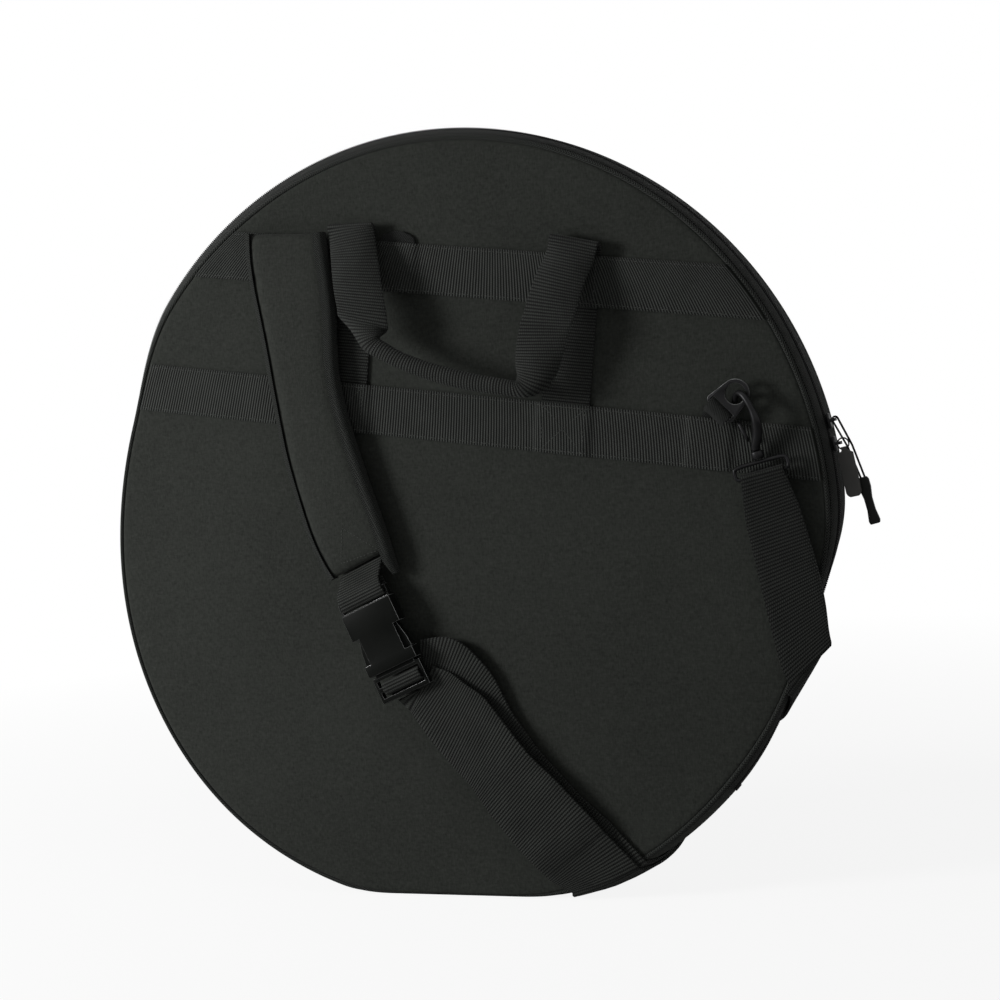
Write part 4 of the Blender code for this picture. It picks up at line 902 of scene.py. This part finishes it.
def handleRow(station, columns):
    leftX, leftZ, rightX, rightZ, y, whole = station
    left, right = Vector((leftX, y, leftZ)), Vector((rightX, y, rightZ))
    middle = (left + right) / 2
    side = (right - left).normalized()
    half = (right - left).length / 2
    fold = foldAngle(half / whole) if half < whole * handle["flatShare"] else 0.0
    lift = handle["front"] * min(fold / handle["frontFold"], 1.0) ** 2
    row = []
    for share in spaced(-1, 1, columns):
        across, back = half * share, 0.0
        if fold > handle["leastFold"]:
            bend = half / math.sin(fold) if fold < math.pi / 2 else half
            across = bend * math.sin(fold * share)
            back = bend * (1 - math.cos(fold * share)) * handle["flatten"]
        row.append(middle + side * across + towardViewer * (lift - back))
    return row


def makeHandle():
    grip = [(*place, handle["gripOut"]) for place in handle["grip"]]
    stations = [
        *handleEnd(-1), *webStations(handle["left"], handle["leftHalf"]), *webStations(grip, handle["gripHalf"]),
        *webStations(handle["right"], handle["rightHalf"]), *reversed(handleEnd(1)),
    ]
    rows = [handleRow(station, 20) for station in smoothRoute(stations, 5)]
    piece = webPiece("carrying_handle", rows, sewn["thickness"], 0)
    piece.data.materials.append(handleFinish.material)
    lines = [onSurface(piece, evenly(first, last, 6)) for first, last in handle["tacks"]]
    seam("grip_tacks", lines, "handle", handle["tackStitch"], handle["tackThick"])
    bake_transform(piece)
    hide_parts("handle_strip_left", "handle_strip_right",
                "handle_webbing_left", "handle_webbing_right", "handle_grip")


makeHandle()
print("handle made")


# Shoulder pad: a soft filled strip, with a binding folded over each edge

pad = {
    "thickness": 0.011, "binding": 0.0024, "tape": 0.0007, "tapeLift": 0.0002, "fold": (0.0014, 0.0003),
    "rightCover": 0.0095, "leftCover": 0.0052, "leftThin": 0.93, "faceOut": 0.003,
    "voxel": 0.003, "pressure": 4.0, "cap": 0.0012, "frames": 20, "quality": 5,
    # the pad's two edges from top to foot, each first across and then up
    "edges": [
        (-0.1815, 0.2130, -0.1125, 0.2185), (-0.1790, 0.1920, -0.1085, 0.2000), (-0.1740, 0.1700, -0.1035, 0.1800),
        (-0.1669, 0.1460, -0.0993, 0.1580), (-0.1595, 0.1205, -0.0968, 0.1340), (-0.1530, 0.0960, -0.0936, 0.1105),
        (-0.1455, 0.0690, -0.0870, 0.0875), (-0.1365, 0.0390, -0.0765, 0.0605), (-0.1245, 0.0080, -0.0625, 0.0295),
        (-0.1115, -0.0215, -0.0488, 0.0005), (-0.0995, -0.0415, -0.0428, -0.0125),
        (-0.0895, -0.0540, -0.0385, -0.0223),
    ],
    # half of its section: share of half the width, and share of half the thickness
    "section": [(0.0, 1.0), (0.5, 0.97), (0.8, 0.86), (0.97, 0.62), (1.0, 0.30)],
    "endThickness": (0.55, 0.75, 0.86), "midThickness": 0.9,
    "triangle": [(-0.0790, -0.0385), (-0.0800, -0.0100), (-0.0480, -0.0240), (-0.0790, -0.0385)],
    # the binding's loose end: its outer edge and the share of the binding that is left
    "flap": [(-0.0365, -0.0285, 0.95), (-0.0340, -0.0345, 0.75), (-0.0322, -0.0395, 0.55)], "flapDrop": 0.0008,
}
padBack = panelFace - gap - 2 * webLayer
padMiddle = padBack - pad["thickness"] / 2


def padStations(samples):
    # middle, direction across, half the width and how much of the binding is left
    stations = []
    for leftX, leftZ, rightX, rightZ in smoothRoute(pad["edges"], samples):
        left, right = Vector((leftX, padMiddle, leftZ)), Vector((rightX, padMiddle, rightZ))
        half = (right - left).length / 2 - pad["binding"] - gap
        stations.append(((left + right) / 2, (right - left).normalized(), half, 1.0))
    return stations


def flapStations(station):
    # the binding's loose end, which runs on past the pad
    _, side, half, _ = station
    stations = []
    for index, (x, z, share) in enumerate(pad["flap"]):
        outer = Vector((x, padMiddle + pad["flapDrop"] * (index + 1), z))
        stations.append((outer - side * (half + pad["binding"] + gap), side, half, share))
    return stations


def padSection(place, side, half, thin):
    # a closed oblong, thinner towards its sides
    profile = [(-share, high) for share, high in pad["section"][:0:-1]] + pad["section"]
    up = towardViewer * pad["thickness"] / 2 * thin
    front = [place + side * half * share + up * high for share, high in profile]
    back = [place + side * half * share - up * min(high * 1.1, 1) for share, high in reversed(profile)]
    return [*front, *back, front[0]]


def makePad():
    stations = padStations(6)
    last = len(stations) - 1
    thins = pad["endThickness"]
    rows = []
    for index, (place, side, half, _) in enumerate(stations):
        near = min(index, last - index)
        rows.append(padSection(place, side, half + gap, thins[near] if near < len(thins) else pad["midThickness"]))
    piece = gridPiece("shoulder_pad_body", rows, True)
    edit(piece, (bpy.ops.mesh.select_all, {"action": "DESELECT"}), (bpy.ops.mesh.select_non_manifold, {}),
         (bpy.ops.mesh.edge_face_add, {}), (bpy.ops.mesh.select_all, {"action": "SELECT"}),
         (bpy.ops.mesh.normals_make_consistent, {"inside": False}))
    piece = puff(piece)
    soften(piece, 80)
    dress(piece, padFinish, "back_half", "pad", "shoulder_pad")
    corners = pad["triangle"]
    lines = [onSurface(piece, evenly(start, end, 12)) for start, end in zip(corners, corners[1:])]
    seam("pad_triangle_stitches", lines)
    # the solids are named for the wearer's side
    makeBinding("pad_edge_right", "pad_binding_left", 1, pad["rightCover"], stations + flapStations(stations[-1]))
    makeBinding("pad_edge_left", "pad_binding_right", -1, pad["leftCover"], stations)


def puff(piece):
    # the pad swells a little under pressure, and its movement is capped
    shape(piece, "REMESH", mode="VOXEL", voxel_size=pad["voxel"])
    rest = [vertex.co.copy() for vertex in piece.data.vertices]
    scene = bpy.context.scene
    cloth = piece.modifiers.new("puff", "CLOTH")
    cloth.settings.use_pressure = True
    cloth.settings.uniform_pressure_force = pad["pressure"]
    cloth.settings.effector_weights.gravity = 0.0
    cloth.settings.quality = pad["quality"]
    for timed in (scene, cloth.point_cache):
        timed.frame_start = 1
        timed.frame_end = pad["frames"]
    for count in range(pad["frames"]):
        scene.frame_set(count + 1)
    pickOnly(piece)
    bpy.ops.object.modifier_apply(modifier=cloth.name)
    scene.frame_set(1)
    back = stand @ Vector((0, padBack, 0))
    for vertex, start in zip(piece.data.vertices, rest):
        moved = vertex.co - start
        if moved.length > pad["cap"]:
            moved *= pad["cap"] / moved.length
        place = start + moved
        place.y = min(place.y, back.y)
        vertex.co = place
    shape(piece, "SUBSURF", levels=1, render_levels=1)
    return piece


def makeBinding(name, node, direction, width, stations):
    # herringbone tape folded round one edge of the pad
    wide, narrow = pad["fold"]
    rows = []
    for place, side, half, share in stations:
        tall = pad["thickness"] / 2 * share * (1.0 if direction > 0 else pad["leftThin"])
        cover = width * share
        edge = half + gap + pad["binding"]
        profile = [
            (cover, 1.0), (cover * 0.6, 0.97), (cover * 0.3, 0.86), (wide, 0.62), (narrow, 0.28), (0.0, 0.0),
            (narrow, -0.3), (wide, -0.66), (cover * 0.4, -0.85), (cover, -0.88),
        ]
        rows.append([
            place + side * direction * (edge - inward) + towardViewer * tall * high for inward, high in profile
        ])
        rows[-1][0] += towardViewer * pad["tapeLift"]
    piece = gridPiece(name, rows)
    front = padMiddle - pad["faceOut"]
    turnFaces(piece, lambda face: towardViewer if face.center.y < front else Vector())
    shape(piece, "SOLIDIFY", thickness=pad["tape"], offset=-1.0)
    soften(piece, 60)
    dress(piece, bindingFinish, "back_half", "tape", node)


makePad()
print("shoulder pad made")


# Side-release buckle: across is its own X, along the strap its Y, off the panel its Z

buckle = {
    "place": (-0.1850, -0.2290), "lift": 0.0143, "axis": (0.52, 0.0, -0.854), "length": 0.062, "bar": 0.0045,
    "slot": 0.0042, "frameThickness": 0.0065, "maleLength": 0.0215, "maleThickness": 0.006, "maleBar": 0.0036,
    "neck": 0.0012, "loopWidth": 0.0345, "slotShift": 0.0012, "runShift": 0.005,
}
buckleAxis = Vector(buckle["axis"]).normalized()
buckleCross = -crossed(buckleAxis)
bucklePlace = Vector((buckle["place"][0] * radius, panelFace - buckle["lift"], buckle["place"][1] * radius))
femaleStart = -buckle["bar"] - buckle["slot"]
femaleEnd = femaleStart + buckle["length"]
maleStart = femaleEnd + gap + buckle["neck"]
maleEnd = maleStart + buckle["maleLength"]
maleSlot = (buckle["maleLength"] - 3 * buckle["maleBar"]) / 2


# widths of eased corners, and how far a rounded part is swelled to make up for the rounding
eased = {"small": 0.0003, "buckle": 0.0004, "plate": 0.0005, "large": 0.0006}
swelled = {"pullRing": 0.0001, "wire": 0.0002, "hook": 0.0003}


def swellOut(piece, distance, share=lambda place: 1.0):
    # the surface moves out along its normals, each place by its share of the distance
    normals = [vertex.normal.copy() for vertex in piece.data.vertices]
    for vertex, normal in zip(piece.data.vertices, normals):
        vertex.co += normal * distance * share(vertex.co)


def polish(node, name, finish, body, slotName, width=eased["small"], levels=0, edge=None, swell=0.0):
    # the solid's own shape, with its corners eased by this width or its faces rounded in so many levels
    pickOnly()
    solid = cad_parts[node]
    piece = bpy.data.objects.new(name, solid.data.copy())
    bpy.context.scene.collection.objects.link(piece)
    edit(piece, (bpy.ops.mesh.remove_doubles, {"threshold": mergeDistance}),
         (bpy.ops.mesh.tris_convert_to_quads, {}),
         (bpy.ops.mesh.dissolve_limited, {"angle_limit": math.radians(1)}))
    if levels:
        shape(piece, "SUBSURF", levels=levels, render_levels=levels)
    if swell:
        swellOut(piece, swell)
    piece.data.materials.clear()
    piece.data.materials.append(finish.material)
    # the bevel faces take the edge finish, which paints a highlight on them
    if edge:
        piece.data.materials.append(edge.material)
    if width:
        bevel(piece, width, 2, 30, 1 if edge else -1)
    soften(piece)
    dress(piece, finish, body, slotName, node)
    return piece


for node, name, body in [
    ("buckle_female", "buckle_socket", "back_half"), ("buckle_male", "buckle_tongue", "back_half"),
    ("prong_left", "buckle_prong_left", "prong_left"), ("prong_right", "buckle_prong_right", "prong_right"),
]:
    polish(node, name, buckleFinish, body, "buckle", eased["buckle"], edge=buckleHighlight)
print("buckle made")


# Shoulder strap

strap = {
    "width": 0.050, "padWidth": 0.040, "thickness": 0.002, "layerGap": 0.0006, "lift": 0.0125, "tailRows": 10,
    "bowEase": 0.4,
    # the two edges, each first across, then up, then off the panel
    "front": [
        (-0.0142, -0.1484, 0.0094, 0.0019, -0.1109, 0.0094), (-0.0093, -0.1540, 0.0098, 0.0157, -0.1129, 0.0098),
        (0.0067, -0.1698, 0.0108, 0.0300, -0.1201, 0.0108), (0.0233, -0.1845, 0.0118, 0.0468, -0.1286, 0.0118),
        (0.0406, -0.1983, 0.0126, 0.0659, -0.1468, 0.0128), (0.0552, -0.2141, 0.0130, 0.0880, -0.1677, 0.0130),
        (0.0722, -0.2304, 0.0130, 0.1069, -0.1811, 0.0130), (0.0863, -0.2431, 0.0128, 0.1232, -0.1942, 0.0128),
        (0.0991, -0.2534, 0.0122, 0.1401, -0.2079, 0.0122), (0.1105, -0.2636, 0.0078, 0.1524, -0.2203, 0.0080),
    ],
    "tail": [
        (-0.0112, -0.1319, 0.0050, -0.0116, -0.0918, 0.0066), (-0.0028, -0.1307, 0.0050, 0.0053, -0.0870, 0.0074),
        (0.0040, -0.1313, 0.0050, 0.0181, -0.0876, 0.0078), (0.0111, -0.1351, 0.0050, 0.0284, -0.0921, 0.0076),
        (0.0182, -0.1405, 0.0048, 0.0396, -0.1010, 0.0070), (0.0252, -0.1475, 0.0044, 0.0495, -0.1105, 0.0062),
        (0.0341, -0.1558, 0.0040, 0.0582, -0.1231, 0.0055), (0.0448, -0.1670, 0.0036, 0.0672, -0.1371, 0.0050),
        (0.0572, -0.1795, 0.0032, 0.0792, -0.1509, 0.0046), (0.0715, -0.1931, 0.0030, 0.0928, -0.1657, 0.0042),
        (0.0889, -0.2070, 0.0028, 0.1097, -0.1800, 0.0038), (0.1063, -0.2208, 0.0025, 0.1264, -0.1942, 0.0034),
        (0.1218, -0.2325, 0.0022, 0.1428, -0.2053, 0.0030), (0.1337, -0.2416, 0.0020, 0.1550, -0.2141, 0.0024),
    ],
    # behind the bag: shares of place and height
    "back": [(0.5819, -0.7131, 0.22), (0.6030, -0.6047, 0.26), (0.6564, -0.5084, 0.28), (0.7114, -0.4530, 0.28)],
    # across the rim: shares of its depth, with the angles of the two edges
    "frontCross": [(-1.0, -65.0, -53.8), (0.0, -62.5, -51.8), (1.0, -58.8, -49.0)],
    "tailCross": [(-1.0, -61.0, -52.5), (0.0, -59.5, -51.0), (1.0, -58.0, -49.5)],
}
strapStack = 2 * gap + strap["thickness"] / 2
frontLift = strapStack + strap["thickness"] + strap["layerGap"]
runUnder = -(buckle["maleThickness"] / 2 + gap * 2 + strap["thickness"] / 2)
tailUnder = runUnder - strap["thickness"] - strap["layerGap"]


def webRows(place, ahead, across, path, half, columns=3):
    # rows of webbing along a path, which lists how far ahead and how far out each row lies
    return [
        [place + ahead * along + towardViewer * out + across * half * share for share in spaced(-1, 1, columns)]
        for along, out in path
    ]


def edgeRows(edges, samples):
    # rows between the two edges of a length of webbing over the panel
    rows = []
    for leftX, leftZ, leftOut, rightX, rightZ, rightOut in smoothRoute(edges, samples):
        left = Vector((leftX, panelFace - leftOut, leftZ))
        right = Vector((rightX, panelFace - rightOut, rightZ))
        rows.append([left.lerp(right, share) for share in spaced(0, 1, 3)])
    return rows


def backRows(shares, width, samples):
    # rows of a length behind the bag
    base = bag["halfDepth"] + strapStack
    route = [Vector((x * radius, base + strap["lift"] * height, z * radius)) for x, z, height in shares]
    stations = []
    last = len(route) - 1
    for index, place in enumerate(route):
        ahead = route[min(index + 1, last)] - route[max(index - 1, 0)]
        stations.append((*place, *crossed(ahead).normalized()))
    rows = []
    for station in smoothRoute(stations, samples):
        side = Vector(station[3:6]).normalized() * width / 2
        rows.append([Vector(station[0:3]) + side * share for share in spaced(-1, 1, 3)])
    return rows


def anglesAt(shares, y):
    share = min(max(y / bag["halfDepth"], -1.0), 1.0)
    for (start, low, high), (end, nextLow, nextHigh) in zip(shares, shares[1:]):
        if share <= end:
            t = (share - start) / (end - start)
            return math.radians(low + (nextLow - low) * t), math.radians(high + (nextHigh - high) * t)
    return math.radians(shares[-1][1]), math.radians(shares[-1][2])


def crossingRows(lift, shares, bow=(0.0, 0.0)):
    # over the rim: round the near piping, along the crown and round the far piping
    reach = bag["piping"] + lift
    corner = bag["halfDepth"] - bag["piping"]
    near = [(-corner - reach * math.cos(turn), reach * math.sin(turn)) for turn in spaced(0, math.pi / 2, 3)]
    along = [(y, crown(y) + lift) for y in spaced(tapeBackStart, gussetEnd, 6)]
    far = [(-y, rise) for y, rise in reversed(near)]
    half = strap["thickness"] / 2
    rows = []
    for y, rise in near + along + far:
        start, end = anglesAt(shares, y)
        swell = min(max((1 - y / bag["halfDepth"]) / 2, 0.0), 1.0) ** strap["bowEase"]
        row = []
        for share in spaced(0, 1, 3):
            out = rise + swell * (bow[0] + (bow[1] - bow[0]) * share) + half
            row.append(rimPoint(start + (end - start) * share, y, out, half))
        rows.append(row)
    return rows


def between(first, last, steps):
    shares = spaced(0, 1, steps)[1:-1]
    return [[start.lerp(end, share) for start, end in zip(first, last)] for share in shares]


def makeStrap():
    place = bucklePlace + buckleCross * buckle["runShift"]
    start = [(maleEnd + gap * 4, runUnder)]
    rows = webRows(place, buckleAxis, buckleCross, start, buckle["loopWidth"] / 2)
    rows += edgeRows(strap["front"], 3) + crossingRows(frontLift, strap["frontCross"])
    back = backRows(strap["back"], strap["width"], 3)
    rows += between(rows[-1], back[0], 3) + back
    piece = webPiece("strap_run", rows, strap["thickness"])
    dress(piece, strapFinish, "back_half", "webbing", "strap_front_run", "strap_back_run")
    # the tail ends part of the way across the rim
    rows = edgeRows(strap["tail"], 2) + crossingRows(strapStack, strap["tailCross"])[:strap["tailRows"]]
    piece = webPiece("strap_free_tail", rows, strap["thickness"])
    dress(piece, strapFinish, "back_half", "webbing", "strap_tail")


def makeBarLoop():
    # the strap's turn over the middle bar of the tongue's frame
    bar = buckle["maleBar"]
    middle = maleStart + bar * 1.5 + maleSlot
    side = bar / 2 + maleSlot / 2
    over = buckle["maleThickness"] / 2 + gap * 2 + strap["thickness"] / 2
    path = [
        (maleEnd, runUnder), (middle + side + bar * 0.8, runUnder), (middle + side + bar * 0.1, runUnder * 0.62),
        (middle + side, 0.0), (middle + side * 0.86, over * 0.72), (middle + side * 0.5, over),
        (middle, over * 1.03), (middle - side * 0.5, over), (middle - side * 0.86, over * 0.72),
        (middle - side, 0.0), (middle - side, runUnder * 0.62), (middle - side * 0.72, tailUnder * 0.84),
        (middle - side * 0.2, tailUnder), (middle + side * 0.4, tailUnder),
    ]
    rows = []
    for index, spot in enumerate(path):
        shift = buckle["slotShift"] + (buckle["runShift"] - buckle["slotShift"]) * max(0.0, 1 - index / 2)
        place = bucklePlace + buckleCross * shift
        rows += webRows(place, buckleAxis, buckleCross, [spot], buckle["loopWidth"] / 2, 1)
    piece = webPiece("strap_loop", rows, strap["thickness"], 4)
    dress(piece, strapFinish, "back_half", "webbing", "strap_bar_loop")


def makePadWebbing():
    half, thickness = strap["padWidth"] / 2, strap["thickness"]
    last, side = padStations(1)[-1][:2]
    over = buckle["frameThickness"] / 2 + gap * 2 + thickness / 2
    wide, deep = buckle["bar"], buckle["slot"]
    bar = femaleStart + wide / 2
    slot = femaleStart + wide + deep / 2
    path = [
        (bar - wide * 2.2, over * 0.1), (bar - wide * 0.9, over * 0.9), (bar, over),
        (slot - deep * 0.3, over * 0.9), (slot, over * 0.5), (slot, -over * 0.5), (slot - deep * 0.3, -over * 0.9),
        (bar, -over), (bar - wide * 0.9, -over * 1.05), (bar - wide * 2.2, -over * 1.1),
    ]
    rows = webRows(last, crossed(side), side, [(gap * 4, 0.0)], half, 1)
    rows += webRows(bucklePlace, buckleAxis, buckleCross, path, half, 1)
    piece = webPiece("pad_end_webbing", rows, thickness, 4)
    dress(piece, strapFinish, "back_half", "webbing", "pad_webbing")


makeStrap()
makeBarLoop()
makePadWebbing()
print("strap made")


# Hook's strap, the snap hook and the plate it is clipped to

hook = {
    "place": (0.8205, 0.2557), "lift": 0.0095, "axis": (-0.364, 0.0, 0.931), "width": 0.038, "loopWidth": 0.032,
    "ringHeight": 0.010, "ringWire": 0.0015, "bow": (0.0005, 0.0105),
    "run": [
        (0.2388, 0.0300, 0.0082, 0.2755, 0.0480, 0.0086), (0.2470, 0.0040, 0.0070, 0.2860, 0.0230, 0.0078),
        (0.2565, -0.0255, 0.0058, 0.2950, -0.0010, 0.0070), (0.2655, -0.0520, 0.0046, 0.3015, -0.0230, 0.0060),
        (0.2730, -0.0730, 0.0036, 0.3050, -0.0400, 0.0050), (0.2800, -0.0860, 0.0026, 0.3080, -0.0520, 0.0036),
    ],
    "back": [(0.8037, -0.3872, 0.36), (0.7242, -0.4372, 0.52), (0.6534, -0.4819, 0.54)],
    "cross": [(-1.0, -18.6, -10.9), (0.0, -22.4, -12.2), (1.0, -26.5, -14.5)],
    "plateOffset": (-0.0192, 0.0004, 0.0417), "plateTurn": 50, "plateBar": 0.0027, "plateThickness": 0.0024,
    "tabWidth": 0.019, "tabThickness": 0.0014, "shank": (0.002, 0.036, 0.010), "shankSwell": 0.0012,
    "tab": [
        (0.6493, 0.2550, 0.7131, 0.2550, 0.0000), (0.6628, 0.3477, 0.7265, 0.3477, 0.0000),
        (0.6695, 0.3607, 0.7310, 0.3520, 0.0072), (0.6800, 0.3680, 0.7370, 0.3470, 0.0150),
    ],
}
hookAxis = Vector(hook["axis"]).normalized()
hookAcross = crossed(hookAxis)
hookPlace = Vector((hook["place"][0] * radius, panelFace - hook["lift"], hook["place"][1] * radius))
ringMiddle = hookPlace - hookAxis * (hook["ringHeight"] / 2 + hook["ringWire"])


def makeHookStrap():
    face = edgeRows(hook["run"], 2)
    tall = hook["ringHeight"]
    turn = hook["ringWire"] + strap["thickness"] / 2 + gap * 2
    path = [
        (-tall * 2.4, -turn * 1.02), (-tall * 0.6, -turn * 1.02), (0.0, -turn), (turn * 0.75, -turn * 0.7),
        (turn, 0.0), (turn * 0.75, turn * 0.7), (0.0, turn * 1.05),
    ]
    loop = webRows(ringMiddle - hookAxis * (tall / 2), hookAxis, hookAcross, path, hook["loopWidth"] / 2)
    cross = crossingRows(strapStack + rim["coilStand"], hook["cross"], hook["bow"])
    back = backRows(hook["back"], hook["width"], 2)
    rows = [*loop, *face, *between(face[-1], cross[0], 4), *cross, *between(cross[-1], back[0], 3), *back]
    piece = webPiece("hook_webbing", rows, strap["thickness"])
    dress(piece, hookWebFinish, "back_half", "webbing", "hook_strap")


def makePlateTab():
    turn = math.radians(hook["plateTurn"])
    plateAlong = Vector((math.cos(turn), 0.0, math.sin(turn)))
    sideways, rise, ahead = hook["plateOffset"]
    platePlace = hookPlace + hookAcross * sideways + towardViewer * rise + hookAxis * ahead
    thickness = hook["tabThickness"]
    flat = panelFace - gap - thickness / 2
    rows = []
    for leftX, leftZ, rightX, rightZ, out in hook["tab"]:
        y = flat - out * radius
        rows.append([Vector((leftX * radius, y, leftZ * radius)), Vector((rightX * radius, y, rightZ * radius))])
    bar = hook["plateBar"]
    off = hook["plateThickness"] / 2 + thickness / 2 + gap
    reach = bar + thickness / 2 + gap
    path = [
        (bar * 0.93, -off * 1.1), (reach * 1.16, -off * 0.72), (reach * 1.32, 0.0), (reach * 1.16, off * 0.72),
        (bar * 0.93, off * 1.1), (0.0, off), (-bar * 1.1, off * 0.5), (-bar * 2.2, -off),
    ]
    rows += webRows(platePlace, plateAlong, crossed(plateAlong), path, hook["tabWidth"] / 2, 1)
    piece = webPiece("plate_webbing", rows, thickness, 4, 6)
    dress(piece, tabFinish, "back_half", "webbing", "plate_tab")


def shankShare(place):
    # the hook's shank is thicker between its swivel and the plate
    along = (stand.inverted() @ place - hookPlace).dot(hookAxis)
    low, high, ease = hook["shank"]
    return min(max((along - low) / ease, 0.0), max((high - along) / ease, 0.0), 1.0)


makeHookStrap()
makePlateTab()
polish("hook_ring", "hook_loop_ring", metalFinish, "back_half", "metal", 0, 1, swell=swelled["wire"])
polish("hook_collar", "hook_swivel_collar", metalFinish, "back_half", "metal", eased["large"])
shank = polish("hook_body", "snap_hook", metalFinish, "hook", "metal", 0, 1, swell=swelled["hook"])
swellOut(shank, hook["shankSwell"], shankShare)
polish("hook_gate", "snap_gate", metalFinish, "hook_gate", "metal", 0, 1, swell=swelled["wire"])
polish("ring_plate", "clip_plate", metalFinish, "back_half", "metal", eased["plate"], edge=plateHighlight)
print("hook made")


# Zip sliders and their pulls

pull = {"cordHang": (0.440, 0.0, -0.898), "cordFoot": 0.3150, "cordTuck": 0.0024}


def tuckCord(cord):
    # the cord's foot runs on into the mouth of its grip
    for vertex in cord.data.vertices:
        if vertex.co.z < pull["cordFoot"]:
            vertex.co += Vector(pull["cordHang"]) * pull["cordTuck"]


for node, name, body in [
    ("slider_upper", "zip_slider_upper", "slider_upper"), ("slider_lower", "zip_slider_lower", "slider_lower"),
    ("zip_stop_left", "zip_end_left", "back_half"), ("zip_stop_right", "zip_end_right", "back_half"),
]:
    polish(node, name, metalFinish, body, "metal")
polish("ring_lower", "pull_ring", metalFinish, "pull_lower", "metal", 0, 1, swell=swelled["pullRing"])
polish("tab_lower", "pull_tag", tagFinish, "pull_lower", "pull")
polish("grip_upper", "pull_grip", pullFinish, "pull_upper", "pull", eased["large"])
tuckCord(polish("cord_upper", "pull_cord", pullFinish, "pull_upper", "webbing", 0))
print("pulls made")


# Floor, light and camera

studio = {
    "floor": 6.0, "floorColour": (0.85, 0.85, 0.85), "fade": (0.5, 1.5), "near": 0.89,
    "background": 1.0, "fill": 0.11,
    "camera": (0.57656, -1.39894, 0.40916), "cameraTurn": (86.1784, 4.4447, 20.8215), "lens": 69.12,
    "lamps": [
        ("keyLamp", (-1.55, -1.05, 0.72), 0.60, 38.0), ("topLamp", (0.1, -0.5, 1.9), 0.9, 2.0),
        ("edgeLamp", (1.5, -1.2, 0.9), 0.7, 1.5),
    ],
}


def addFloor():
    pickOnly()
    bpy.ops.mesh.primitive_plane_add(size=studio["floor"] * 2, location=(0, 0, 0))
    floor = bpy.context.object
    floor.name = "floor"
    edit(floor, (bpy.ops.mesh.subdivide, {"number_cuts": 7}))
    finish = Finish("paleFloor", studio["floorColour"], 0.9, gloss=0.0)
    seen = finish.node("ShaderNodeLightPath", {}, {}, "Is Camera Ray")
    x, y, _ = finish.split(finish.objectPlace())
    away = (x * x + y * y) ** 0.5
    near, far = studio["fade"]
    white = finish.node("ShaderNodeEmission", {}, {"Color": (1, 1, 1, 1), "Strength": studio["background"]})
    finish.done((*studio["floorColour"], 1.0))
    share = (away.above(near, far - near) * (1 - studio["near"]) + studio["near"]) * seen
    output = finish.tree.nodes["Material Output"]
    mixed = finish.node("ShaderNodeMixShader", {}, [share, Wire(finish, finish.shader.outputs[0]), white])
    finish.join(mixed, output.inputs["Surface"])
    floor.data.materials.append(finish.material)


def addWorld():
    # white to the camera and in reflections, and dim as a light
    world = bpy.data.worlds.new("studioWorld")
    bpy.context.scene.world = world
    world.use_nodes = True
    graph = Graph(world.node_tree)
    graph.tree.nodes.clear()
    kinds = ("Is Camera Ray", "Is Glossy Ray", "Is Transmission Ray")
    camera, glossy, through = [graph.node("ShaderNodeLightPath", {}, {}, kind) for kind in kinds]
    seen = camera.larger(glossy).larger(through)
    limits = {"To Min": studio["fill"], "To Max": studio["background"]}
    strength = graph.node("ShaderNodeMapRange", {}, {"Value": seen, **limits})
    light = graph.node("ShaderNodeBackground", {}, {"Color": (1, 1, 1, 1), "Strength": strength})
    graph.join(light, graph.tree.nodes.new("ShaderNodeOutputWorld").inputs["Surface"])


def addLamps():
    for name, place, size, power in studio["lamps"]:
        pickOnly()
        bpy.ops.object.light_add(type="AREA", location=place)
        lamp = bpy.context.object
        lamp.name = name
        lamp.data.shape = "DISK"
        lamp.data.size = size
        lamp.data.energy = power
        aim = Vector((0, 0, bag["footDistance"])) - Vector(place)
        lamp.rotation_euler = aim.to_track_quat("-Z", "Y").to_euler()


def addCamera():
    pickOnly()
    turn = [math.radians(angle) for angle in studio["cameraTurn"]]
    bpy.ops.object.camera_add(location=studio["camera"], rotation=turn)
    camera = bpy.context.object
    camera.data.lens = studio["lens"]
    camera.data.sensor_width = 36
    bpy.context.scene.camera = camera


addFloor()
addWorld()
addLamps()
addCamera()
bpy.context.scene.view_settings.view_transform = "Standard"
print("studio made")
